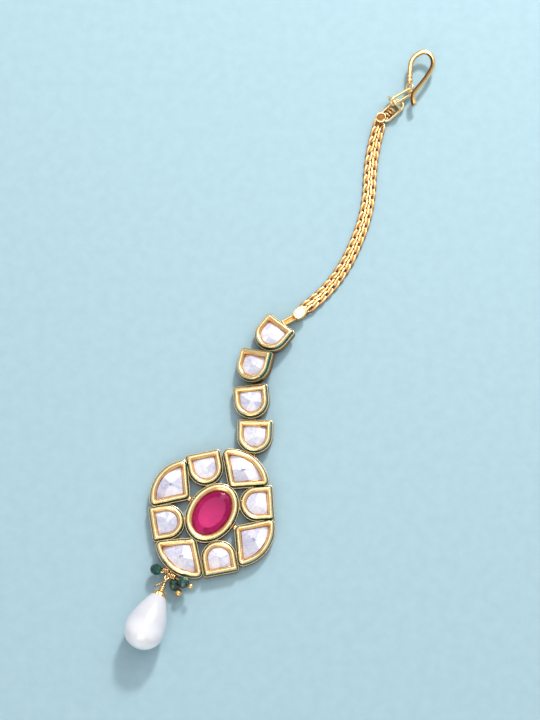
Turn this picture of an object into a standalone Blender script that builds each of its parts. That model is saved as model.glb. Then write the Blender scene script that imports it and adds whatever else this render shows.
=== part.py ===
"""Maang tikka: a forehead ornament worn along the parting of the hair.

The piece lies flat on its back.  A pendant of nine soldered settings carries a drop
with a pearl and green beads below; four hinged settings, a flat chain and a hook
for the hair follow above.  Shapes are made in millimetres and finished in metres.
"""

import math

import bmesh
import bpy
from mathutils import Matrix, Vector

MM = 0.001

# Collet section, read from the outside inwards.  Offsets are measured outwards from
# the outer edge of the bright lip, heights from the flat back.
LEDGE_OUT = 0.36
LEDGE_WIDTH = 0.17
LEDGE_HEIGHT = 1.95
GROOVE_DEPTH = 0.14
GROOVE_WIDTH = 0.10
LIP_SIDE_HEIGHT = 2.55
LIP_HEIGHT = 2.95
LIP_ROUND = 0.16
LIP_WIDTH = 0.46
RIM_WIDTH = 1.15
WINDOW_HEIGHT = 2.32
SEAT_HEIGHT = 1.55
BACK_CHAMFER = 0.30

# Neighbouring settings of the pendant stand a little higher or lower.
D_RISE = -0.04
FAN_RISE = 0.0
OVAL_RISE = 0.06

# Outlines of the settings, at the outer edge of the lip.
D_WIDTH = 7.20
D_DEPTH = 6.90
D_CORNER = 0.30
FAN_RADIUS = 8.40
FAN_HALF_ANGLE = math.radians(48.5)
FAN_APEX_ROUND = 1.00
FAN_END_ROUND = 0.95
OVAL_LENGTH = 13.50
OVAL_WIDTH = 10.20
OVAL_RIM_WIDTH = 1.38
SHARPEST_ROUND = 0.12

# Where the settings of the pendant stand.  The long axis of the pendant is the long
# axis of the oval; angles are in degrees from +X.
LONG_AXIS = 55.0
FAN_APEX_LONG = 6.95
FAN_APEX_SHORT = 6.15
D_CENTRE_RADIUS = 10.05
# name, direction, turn of the flat side away from that direction
D_PLACES = (
    ("north", LONG_AXIS + 43.7, 3.0),
    ("east", LONG_AXIS - 43.2, -8.0),
    ("south", LONG_AXIS + 223.7, 2.0),
    ("west", LONG_AXIS + 136.5, -2.0),
)
# name, direction, distance of the sharp corner, turn of the bisector
FAN_PLACES = (
    ("north_east", LONG_AXIS, FAN_APEX_LONG, -2.5),
    ("north_west", LONG_AXIS + 92.0, FAN_APEX_SHORT, -3.5),
    ("south_west", LONG_AXIS + 181.5, FAN_APEX_LONG, -3.0),
    ("south_east", LONG_AXIS - 87.0, FAN_APEX_SHORT, -4.5),
)
SOLDER_BALL = 0.55
SOLDER_HEIGHT = 1.10
SOLDER_RADIUS_D = 6.20
SOLDER_SET_BACK = 0.15

# Stones
STONE_GAP = 0.15
STONE_GIRDLE = 0.30
STONE_CROWN = 0.42
STONE_TABLE_INSET = 1.45
STONE_SHOULDER_INSET = 0.55
STONE_SHOULDER_RISE = 0.70
RUBY_CROWN = 0.75
RUBY_TABLE_INSET = 1.35

# How far a cutter reaches past what it cuts
PAST = 1.0

# The hinge between two settings: a rod across a notch and a loop round the rod.
ROD_RADIUS = 0.15
ROD_HEIGHT = 0.75
ROD_DEPTH = 0.40
ROD_BITE = 0.25
NOTCH_WIDTH = 3.60
NOTCH_DEPTH = 1.15
NOTCH_HEIGHT = 1.60
LOOP_RADIUS = 0.43
LOOP_WIRE = 0.15
STEM_REACH = 0.70
FAN_ROD_TURN = 1.0

# Strand of hinged settings.  name, x and y of the middle of the lip, way the flat
# side faces, roll that lifts the right side
STRAND_PLACES = (
    ("strand_1", 12.95, 40.45, 51.0, 12.0),
    ("strand_2", 8.65, 33.19, 76.0, 21.0),
    ("strand_3", 8.50, 24.98, 94.7, 8.0),
    ("strand_4", 9.30, 17.13, 88.2, 5.0),
)

# Flat double curb chain.  The route keeps the few points it was laid through.
CHAIN_ROUTE = (
    (19.80, 45.90, 1.25),
    (22.1, 47.9, 1.05),
    (25.0, 50.6, 0.78),
    (27.7, 53.8, 0.74),
    (30.1, 57.5, 0.74),
    (32.1, 61.6, 0.74),
    (33.7, 65.7, 0.74),
    (34.9, 69.9, 0.74),
    (35.6, 74.3, 0.74),
    (35.9, 78.7, 0.74),
    (36.4, 83.0, 0.82),
    (37.2, 87.1, 1.02),
    (38.1, 90.4, 1.25),
    (38.40, 92.10, 1.25),
)
LINK_PITCH = 2.30
LINK_STRETCH = 154 / 115
LINK_WIRE = 0.22
LINK_LENGTH = LINK_PITCH * LINK_STRETCH
LINK_BREADTH = 1.26
LINK_ROLL = math.radians(50.0)
ROW_OFFSET = 0.78
LINK_SEGMENTS = 10
LINK_SIDES = 5

# End caps that grip the chain
CAP_GAP = 0.18
CAP_PLATE = 0.34
LOWER_CAP_GRIP = 1.50
LOWER_CAP_LENGTH = 3.30
LOWER_CAP_WIDTH = 2.60
LOWER_CAP_DOME = 0.30
UPPER_CAP_DOME = 0.35
UPPER_CAP_GRIP = 1.30
UPPER_CAP_LENGTH = 2.45
UPPER_CAP_WIDTH = 2.60
POST_RADIUS = 0.24
POST_SET_IN = 0.55
POST_ASIDE = 0.84
TONGUE_WIDTH = 1.45
TONGUE_THICKNESS = 0.50
SLOT_HALF_HEIGHT = LINK_WIRE + LINK_BREADTH / 2 * math.sin(LINK_ROLL) + CAP_GAP

# Rings between the chain and the hook
RING_WIRE = 0.25
BAIL_LENGTH = 6.10
BAIL_WIDTH = 2.50
BAIL_WAY = (0.74, 0.67, 0.0)
BAIL_NEAR_HEIGHT = 0.80
BAIL_RISE = 0.045
STAND_RING_RADIUS = 1.80
STAND_RING_BACK = 1.34
STAND_RING_ASIDE = 0.80
FLOOR_GAP = 0.03
HOOK_LINK_WIDTH = 2.00
HOOK_LINK_DROP = 0.25
HOOK_LINK_ROLL = math.radians(50.0)
HOOK_LINK_PLAY = 0.20
LINK_PLAY = 0.12
RING_SEGMENTS = 12
RING_SIDES = 6

# Hook
HOOK_WIDTH = 1.18
HOOK_THICKNESS = 0.92
HOOK_TAIL_FLARE = 1.25
HOOK_EYE_RADIUS = 0.95
HOOK_EYE_WIRE = 0.27
HOOK_EYE_DROP = -0.15
HOOK_EYE_LEAN = math.radians(47.0)
HOOK_COLLAR_OUT = 0.12
HOOK_ROUTE = (
    (45.25, 100.60, 1.95),
    (45.35, 103.20, 2.30),
    (45.65, 105.60, 2.55),
    (46.70, 107.15, 2.70),
    (48.60, 108.15, 2.80),
    (50.15, 107.35, 2.85),
    (50.75, 105.50, 2.85),
    (50.20, 103.60, 2.85),
    (48.70, 101.25, 2.80),
    (47.10, 99.25, 2.75),
    (46.15, 97.95, 2.70),
    (45.95, 96.50, 2.60),
    (46.20, 95.10, 2.50),
)

# Drop of the pendant
DROP_RING_LENGTH = 2.60
DROP_RING_WIDTH = 0.90
DROP_RING_TILT = math.radians(22.0)
PIN_LOOP = 0.42
PIN_LOOP_PLAY = 0.04
PIN_LOOP_WIRE = 0.10
PIN_RADIUS = 0.16
PIN_SIDES = 7
WRAP_RADIUS = 0.38
WRAP_NECK = 0.75
WRAP_TURN = 0.30
BEAD_RADIUS = 1.33
BEAD_HOLE = 0.33
# name, angle round the end of the drop ring, distance back along its side, middle of
# the bead, radius of the ball head, turns of wrapped wire
BEAD_PLACES = (
    ("left", 90.0, 0.76, (-12.22, -12.55, 2.38), 0.0, 3),
    ("front", -90.0, 0.53, (-8.12, -15.90, 1.48), 0.78, 2),
    ("right", 90.0, 0.15, (-6.10, -15.55, 3.15), 0.60, 3),
)
PEARL_RING_ANGLE = 0.0
PEARL_BALL = (-14.40, -25.80, 4.63)
PEARL_NECK = (-11.25, -17.95, 3.05)
# distance from the round end along the axis, radius
PEARL_PROFILE = (
    (0.25, 1.55),
    (1.00, 2.90),
    (2.20, 3.95),
    (3.60, 4.48),
    (4.80, 4.60),
    (6.20, 4.42),
    (8.00, 3.88),
    (9.80, 3.15),
    (11.40, 2.38),
    (12.60, 1.72),
)
PEARL_SIDES = 16
PEARL_CAP_RADIUS = 1.55
PEARL_CAP_RISE = 1.05
PEARL_CAP_GAP = 0.12

SMOOTH_LIMIT = math.radians(38.0)


# Mesh helpers

def make_material(name, colour, metallic, roughness, transmission=0.0, ior=1.5):
    """One Principled material."""
    material = bpy.data.materials.new(name)
    material.use_nodes = True
    shader = material.node_tree.nodes["Principled BSDF"]
    shader.inputs["Base Color"].default_value = (*colour, 1.0)
    shader.inputs["Metallic"].default_value = metallic
    shader.inputs["Roughness"].default_value = roughness
    shader.inputs["Transmission Weight"].default_value = transmission
    shader.inputs["IOR"].default_value = ior
    return material


def finish(name, mesh, material, smooth=True):
    """Bring a mesh to metres, set its shading and give it a named object."""
    mesh.transform(Matrix.Scale(MM, 4))
    if smooth:
        mesh.shade_smooth()
        mesh.set_sharp_from_angle(angle=SMOOTH_LIMIT)
    else:
        mesh.shade_flat()
    mesh.materials.clear()
    mesh.materials.append(material)
    thing = bpy.data.objects.new(name, mesh)
    bpy.context.collection.objects.link(thing)
    return thing


def loft(rings, closed=False):
    """Skin rings of equal counts; closed joins the last ring to the first."""
    shape = bmesh.new()
    rows = [[shape.verts.new(point) for point in ring] for ring in rings]
    pairs = list(zip(rows, rows[1:]))
    if closed:
        pairs.append((rows[-1], rows[0]))
    for low, high in pairs:
        count = len(low)
        for i in range(count):
            j = (i + 1) % count
            shape.faces.new((low[i], low[j], high[j], high[i]))
    if not closed:
        shape.faces.new(rows[0][::-1])
        shape.faces.new(rows[-1])
    bmesh.ops.recalc_face_normals(shape, faces=shape.faces)
    mesh = bpy.data.meshes.new("shape")
    shape.to_mesh(mesh)
    shape.free()
    return mesh


def moved(mesh, matrix):
    """Place a mesh with a matrix."""
    mesh.transform(matrix)
    return mesh


def joined(meshes):
    """Put separate meshes that do not touch into one mesh."""
    shape = bmesh.new()
    for mesh in meshes:
        shape.from_mesh(mesh)
        bpy.data.meshes.remove(mesh)
    mesh = bpy.data.meshes.new("shape")
    shape.to_mesh(mesh)
    shape.free()
    return mesh


def boolean(mesh, tools, operation, solver="EXACT"):
    """Cut or join a mesh with each tool in turn and return the new mesh."""
    for tool in tools:
        body = bpy.data.objects.new("body", mesh)
        other = bpy.data.objects.new("tool", tool)
        for thing in (body, other):
            bpy.context.collection.objects.link(thing)
        step = body.modifiers.new("step", "BOOLEAN")
        step.operation = operation
        step.solver = solver
        step.object = other
        graph = bpy.context.evaluated_depsgraph_get()
        result = bpy.data.meshes.new_from_object(body.evaluated_get(graph))
        bpy.data.objects.remove(body)
        bpy.data.objects.remove(other)
        bpy.data.meshes.remove(mesh)
        bpy.data.meshes.remove(tool)
        mesh = result
    return mesh


def polar(radius, angle):
    """A flat point from a radius and an angle in radians."""
    return (radius * math.cos(angle), radius * math.sin(angle))


def arc(centre, radius, start, end, steps):
    """Points along an arc, both ends included; angles in radians."""
    points = []
    for i in range(steps + 1):
        dx, dy = polar(radius, start + (end - start) * i / steps)
        points.append((centre[0] + dx, centre[1] + dy))
    return points


def section(centre, across, up, half_across, half_up, sides):
    """An oval section of a wire or strip."""
    points = []
    for i in range(sides):
        dx, dy = polar(1.0, math.tau * (i + 0.5) / sides)
        points.append(centre + across * (dx * half_across) + up * (dy * half_up))
    return points


def oval_ring(centre, along, across, half_length, half_width, wire,
              segments=RING_SEGMENTS, sides=RING_SIDES):
    """A closed ring of round wire with two round ends, in the plane of along and across."""
    normal = along.cross(across).normalized()
    rings = []
    for i in range(segments):
        dx, dy = polar(1.0, math.tau * (i + 0.5) / segments)
        end = centre + along * math.copysign(half_length - half_width, dx)
        outward = along * dx + across * dy
        rings.append(section(end + outward * half_width, outward, normal, wire, wire, sides))
    return loft(rings, closed=True)


def rod(start, end, radius, sides=6):
    """A straight round rod."""
    way = (end - start).normalized()
    across = way.orthogonal().normalized()
    up = way.cross(across)
    return loft([section(point, across, up, radius, radius, sides) for point in (start, end)])


def turned(start, way, profile, sides, hole=0.0):
    """A body turned round an axis from (distance, radius) rows, with an open hole."""
    across = way.orthogonal().normalized()
    up = way.cross(across)
    rings = [section(start + way * reach, across, up, radius, radius, sides)
             for reach, radius in profile]
    if not hole:
        return loft(rings)
    ends = (profile[-1][0], profile[0][0])
    rings += [section(start + way * reach, across, up, hole, hole, sides) for reach in ends]
    return loft(rings, closed=True)


def ball(centre, radius, segments=10, rings=6):
    """A round ball."""
    shape = bmesh.new()
    bmesh.ops.create_uvsphere(shape, u_segments=segments, v_segments=rings,
                              radius=radius)
    bmesh.ops.translate(shape, verts=shape.verts, vec=centre)
    mesh = bpy.data.meshes.new("ball")
    shape.to_mesh(mesh)
    shape.free()
    return mesh


def block(low, high):
    """A box between two corners."""
    corners = [(low[0], low[1]), (high[0], low[1]), (high[0], high[1]), (low[0], high[1])]
    return loft([[(x, y, z) for x, y in corners] for z in (low[2], high[2])])


# Outlines of the settings

def d_outline(grow, steps=8):
    """Half-round shape whose flat side faces +X."""
    half = D_WIDTH / 2 + grow
    flat = D_DEPTH / 2 + grow
    middle = (D_WIDTH - D_DEPTH) / 2
    bend = max(D_CORNER + grow, SHARPEST_ROUND)
    quarter = math.pi / 2
    points = arc((flat - bend, bend - half), bend, -quarter, 0, 1)
    points += arc((flat - bend, half - bend), bend, 0, quarter, 1)
    points += arc((middle, 0), half, quarter, 3 * quarter, steps)
    return points


def fan_outline(grow, steps=6):
    """Quarter-round shape with its corner at the origin and its arc towards +X."""
    radius = FAN_RADIUS + grow
    slope = FAN_HALF_ANGLE
    quarter = math.pi / 2
    apex_bend = max(FAN_APEX_ROUND + grow, SHARPEST_ROUND)
    end_bend = max(FAN_END_ROUND + grow, SHARPEST_ROUND)
    side = grow - end_bend
    reach = math.sqrt((radius - end_bend) ** 2 - side ** 2)
    turn = math.atan2(side, reach)
    swing = slope + turn
    low_centre = polar(radius - end_bend, -swing)
    high_centre = polar(radius - end_bend, swing)
    apex_centre = ((apex_bend - grow) / math.sin(slope), 0.0)
    points = arc(low_centre, end_bend, -slope - quarter, -swing, 2)
    points += arc((0, 0), radius, -swing, swing, steps)[1:-1]
    points += arc(high_centre, end_bend, swing, slope + quarter, 2)
    points += arc(apex_centre, apex_bend, slope + quarter, 3 * quarter - slope, 3)
    return points


def oval_outline(grow, steps=20):
    """Ellipse grown by a constant distance, long side along X."""
    points = []
    for i in range(steps):
        dx, dy = polar(1.0, math.tau * i / steps)
        normal = Vector((dx / OVAL_LENGTH, dy / OVAL_WIDTH)).normalized()
        points.append((dx * OVAL_LENGTH / 2 + normal.x * grow,
                       dy * OVAL_WIDTH / 2 + normal.y * grow))
    return points


# Settings and stones

def collet(outline, rim=RIM_WIDTH, rise=0.0):
    """A setting with a flat back, ledge, groove, lip and stone seat."""
    groove = LEDGE_OUT - LEDGE_WIDTH
    profile = (
        (LEDGE_OUT - BACK_CHAMFER, 0.0),
        (LEDGE_OUT, BACK_CHAMFER + rise),
        (LEDGE_OUT, LEDGE_HEIGHT + rise),
        (groove, LEDGE_HEIGHT + rise),
        (groove - GROOVE_WIDTH, LEDGE_HEIGHT - GROOVE_DEPTH + rise),
        (0.0, LIP_SIDE_HEIGHT + rise),
        (-LIP_ROUND, LIP_HEIGHT - LIP_ROUND / 3 + rise),
        (-LIP_WIDTH, LIP_HEIGHT + rise),
        (-rim, WINDOW_HEIGHT),
        (-rim, SEAT_HEIGHT),
    )
    return loft([[(x, y, height) for x, y in outline(offset)] for offset, height in profile])


def stone(outline, rim=RIM_WIDTH, steps=5, crown=STONE_CROWN, inset=STONE_TABLE_INSET):
    """A flat-bottomed stone with a girdle, two rows of facets and a table."""
    edge = -rim - STONE_GAP
    foot = SEAT_HEIGHT + STONE_GAP
    girdle = WINDOW_HEIGHT - STONE_GAP
    rows = (
        (edge, foot),
        (edge, foot + STONE_GIRDLE),
        (edge, girdle),
        (edge - STONE_SHOULDER_INSET, girdle + crown * STONE_SHOULDER_RISE),
        (edge - inset, girdle + crown),
    )
    return loft([[(x, y, height) for x, y in outline(offset, steps)] for offset, height in rows])


def flat_place(x, y, angle):
    """Standing on the floor at x, y and turned by an angle in degrees."""
    return Matrix.Translation((x, y, 0)) @ Matrix.Rotation(math.radians(angle), 4, "Z")


def rolled_place(x, y, angle, roll):
    """Lip centred on x, y, resting on the left edge after a roll in degrees."""
    lean = math.radians(roll)
    shift = Matrix.Translation((0, -LIP_HEIGHT * math.sin(lean),
                                (D_WIDTH / 2 + LEDGE_OUT) * math.sin(lean)))
    return flat_place(x, y, angle) @ shift @ Matrix.Rotation(-lean, 4, "X")


def hinge_notch(reach):
    """Cutter for the notch of a hinge whose outer wall stands at reach."""
    low = (reach - NOTCH_DEPTH, -NOTCH_WIDTH / 2, -PAST)
    high = (reach + PAST, NOTCH_WIDTH / 2, NOTCH_HEIGHT)
    return block(low, high)


def hinge_rod(reach):
    """Rod across the notch."""
    half = NOTCH_WIDTH / 2 + ROD_BITE
    x = reach - ROD_DEPTH
    return rod(Vector((x, -half, ROD_HEIGHT)), Vector((x, half, ROD_HEIGHT)), ROD_RADIUS)


def hinge_point(place, reach):
    """Middle of the rod and the way out of the notch, in the frame of the whole."""
    point = place @ Vector((reach - ROD_DEPTH, 0, ROD_HEIGHT))
    outward = place.to_3x3() @ Vector((1, 0, 0))
    return point, outward


def hinge_loop(point, outward, anchor):
    """Loop round a rod with a stem that runs into the metal at anchor."""
    flat_way = Vector((outward.x, outward.y, 0)).normalized()
    loop = oval_ring(point, flat_way, Vector((0, 0, 1)), LOOP_RADIUS, LOOP_RADIUS,
                     LOOP_WIRE, segments=10)
    stem = rod(point + flat_way * LOOP_RADIUS, anchor, LOOP_WIRE * 1.15)
    return boolean(loop, [stem], "UNION")


# Chain

def route_point(position):
    """Smooth curve through the route; position counts route points from 0."""
    last = len(CHAIN_ROUTE) - 1
    index = min(max(int(position), 0), last - 1)
    t = position - index
    knots = [Vector(CHAIN_ROUTE[min(max(index + k, 0), last)]) for k in (-1, 0, 1, 2)]
    before, start, end, after = knots
    if index == 0:
        before = start * 2 - end
    if index == last - 1:
        after = end * 2 - start
    pull = (end - before) / 2
    push = (after - start) / 2
    return (start * (2 * t ** 3 - 3 * t ** 2 + 1) + pull * (t ** 3 - 2 * t ** 2 + t)
            + end * (3 * t ** 2 - 2 * t ** 3) + push * (t ** 3 - t ** 2))


def route_table(parts=20):
    """Distance and position along the route at small steps."""
    rows = [(0.0, 0.0)]
    previous = route_point(0.0)
    for i in range(1, (len(CHAIN_ROUTE) - 1) * parts + 1):
        point = route_point(i / parts)
        rows.append((rows[-1][0] + (point - previous).length, i / parts))
        previous = point
    return rows


def route_frame(distance, table):
    """Point, direction, side and up of the route at a distance."""
    position = table[-1][1]
    for (near, low), (far, high) in zip(table, table[1:]):
        if distance <= far:
            position = low + (high - low) * (distance - near) / (far - near)
            break
    step = 0.02
    way = (route_point(position + step) - route_point(position - step)).normalized()
    side = Vector((-way.y, way.x, 0)).normalized()
    return route_point(position), way, side, way.cross(side)


def curb_link(centre, way, side, up, hand):
    """One curb link: an oval whose ends are rolled opposite ways."""
    points = []
    for i in range(LINK_SEGMENTS):
        along, across = polar(1.0, math.tau * (i + 0.5) / LINK_SEGMENTS)
        roll = LINK_ROLL * along * hand
        spread = LINK_BREADTH / 2 * across
        points.append(centre + way * (LINK_LENGTH / 2 * along)
                      + side * (spread * math.cos(roll)) + up * (spread * math.sin(roll)))
    rings = []
    for i, point in enumerate(points):
        way_here = (points[(i + 1) % LINK_SEGMENTS] - points[i - 1]).normalized()
        outward = point - centre
        outward = (outward - way_here * outward.dot(way_here)).normalized()
        normal = way_here.cross(outward)
        rings.append(section(point, outward, normal, LINK_WIRE, LINK_WIRE, LINK_SIDES))
    return loft(rings, closed=True)


def chain_row(hand, late):
    """One row of links, fused where they lie on each other; late shifts it along."""
    table = route_table()
    count = 1 + int((table[-1][0] - LINK_LENGTH) / LINK_PITCH - late)
    groups = []
    for parity in (0, 1):
        links = []
        for i in range(parity, count, 2):
            distance = LINK_LENGTH / 2 + (i + late) * LINK_PITCH
            centre, way, side, up = route_frame(distance, table)
            links.append(curb_link(centre + side * (ROW_OFFSET * hand), way, side, up, hand))
        groups.append(joined(links))
    return boolean(groups[0], groups[1:], "UNION")


# End caps

def cap_body(centre, way, length, width, rise):
    """Domed crimp plate, longer than wide, with blunt corners."""
    side = Vector((-way.y, way.x, 0)).normalized()
    half_height = SLOT_HALF_HEIGHT + CAP_PLATE
    # share of length, share of width, height
    rows = (
        (0.84, 0.84, -half_height),
        (1.00, 1.00, -half_height + 0.2),
        (1.00, 1.00, half_height - 0.25),
        (0.80, 0.78, half_height + rise * 0.6),
        (0.42, 0.40, half_height + rise),
    )
    rings = []
    for share_length, share_width, height in rows:
        ring = []
        for i in range(12):
            dx, dy = polar(1.0, math.tau * (i + 0.5) / 12)
            blunt = (abs(dx) ** 3 + abs(dy) ** 3) ** (-1 / 3)
            ring.append(centre + way * (dx * blunt * length / 2 * share_length)
                        + side * (dy * blunt * width / 2 * share_width)
                        + Vector((0, 0, height)))
        rings.append(ring)
    return loft(rings)


def tongue(start, end):
    """Flat strip from the body of a cap towards a hinge."""
    way = (end - start).normalized()
    side = Vector((-way.y, way.x, 0)).normalized()
    up = way.cross(side)
    rows = ((start, 1.15), (end - way * 0.25, 1.0), (end, 0.86))
    return loft([section(point, side, up, TONGUE_WIDTH / 2 * share,
                         TONGUE_THICKNESS / 2 * share, 8) for point, share in rows])


def cap_block(centre, way, start, end, half_width, half_height):
    """A box in the frame of a cap, from start to end along its way."""
    side = Vector((-way.y, way.x, 0)).normalized()
    corners = ((-half_width, -half_height), (half_width, -half_height),
               (half_width, half_height), (-half_width, half_height))
    return loft([[centre + way * reach + side * x + Vector((0, 0, z)) for x, z in corners]
                 for reach in (start, end)])


# Hook

def hook_body():
    """Strip bent to a long open loop, ending in a standing eye."""
    knots = [Vector(point) for point in HOOK_ROUTE]
    points = []
    for i in range(len(knots) - 1):
        before = knots[i - 1] if i else knots[0] * 2 - knots[1]
        after = knots[i + 2] if i + 2 < len(knots) else knots[-1] * 2 - knots[-2]
        for t in (0.0, 0.5):
            pull = (knots[i + 1] - before) / 2
            push = (after - knots[i]) / 2
            points.append(knots[i] * (2 * t ** 3 - 3 * t ** 2 + 1)
                          + pull * (t ** 3 - 2 * t ** 2 + t)
                          + knots[i + 1] * (3 * t ** 2 - 2 * t ** 3) + push * (t ** 3 - t ** 2))
    points.append(knots[-1])
    rings = []
    last = len(points) - 1
    for i, point in enumerate(points):
        way = (points[min(i + 1, last)] - points[max(i - 1, 0)]).normalized()
        across = way.cross(Vector((0, 0, 1))).normalized()
        up = across.cross(way)
        flare = 1.0 + (HOOK_TAIL_FLARE - 1.0) * max(0.0, (i - last + 4) / 4)
        collar = HOOK_COLLAR_OUT if i == 1 else 0.0
        rings.append(section(point, across, up, HOOK_WIDTH / 2 * flare + collar,
                             HOOK_THICKNESS / 2 + collar, 8))
    strip = loft(rings)
    lean = Vector((math.cos(HOOK_EYE_LEAN), 0, math.sin(HOOK_EYE_LEAN)))
    eye = oval_ring(hook_eye(), Vector((0, 1, 0)), lean, HOOK_EYE_RADIUS, HOOK_EYE_RADIUS,
                    HOOK_EYE_WIRE)
    return boolean(strip, [eye], "UNION")


def hook_eye():
    """Middle of the eye at the start of the hook."""
    return Vector(HOOK_ROUTE[0]) + Vector((0, -HOOK_EYE_RADIUS, HOOK_EYE_DROP))


# Drop

def pin(loop_centre, loop_normal, target, wraps, head_gap, head):
    """Loop, wrapped wire and shaft in one; the head ends beyond the target."""
    way = (target - loop_centre).normalized()
    across = loop_normal.cross(way).normalized()
    along = across.cross(loop_normal).normalized()
    loop = oval_ring(loop_centre, along, across, PIN_LOOP, PIN_LOOP, PIN_LOOP_WIRE,
                     segments=10, sides=5)
    start = loop_centre + along * PIN_LOOP
    run = target - start
    way = run.normalized()
    reach = run.length
    profile = [(-0.05, PIN_RADIUS)]
    for i in range(wraps):
        foot = 0.12 + i * WRAP_TURN
        profile += [(foot, WRAP_RADIUS * WRAP_NECK), (foot + WRAP_TURN / 2, WRAP_RADIUS)]
    tail = 0.12 + wraps * WRAP_TURN
    profile += [(tail, WRAP_RADIUS * WRAP_NECK), (tail + 0.06, PIN_RADIUS)]
    if head:
        neck = reach + head_gap
        profile += [(neck, PIN_RADIUS), (neck + 0.10, head * 0.72), (neck + head, head),
                    (neck + head * 1.7, head * 0.72), (neck + head * 1.95, head * 0.3)]
    else:
        profile += [(reach, PIN_RADIUS)]
    return boolean(loop, [turned(start, way, profile, PIN_SIDES)], "UNION")


def ring_station(centre, along, across, angle, back):
    """Middle and axis of a small loop on the drop ring, set back along its side."""
    turn = math.radians(angle)
    spoke = along * math.cos(turn) + across * math.sin(turn)
    tangent = across * math.cos(turn) - along * math.sin(turn)
    bend = centre + along * ((DROP_RING_LENGTH - DROP_RING_WIDTH) / 2 - back)
    return bend + spoke * (DROP_RING_WIDTH / 2 + PIN_LOOP_PLAY), tangent


def bead(centre, way):
    """Faceted bead with a hole along its pin."""
    rows = ((-0.82, 0.50), (-0.42, 0.90), (0.0, 1.0), (0.42, 0.90), (0.82, 0.50))
    profile = [(BEAD_RADIUS * reach, BEAD_RADIUS * share) for reach, share in rows]
    return turned(centre, way, profile, 10, hole=BEAD_HOLE)


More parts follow.
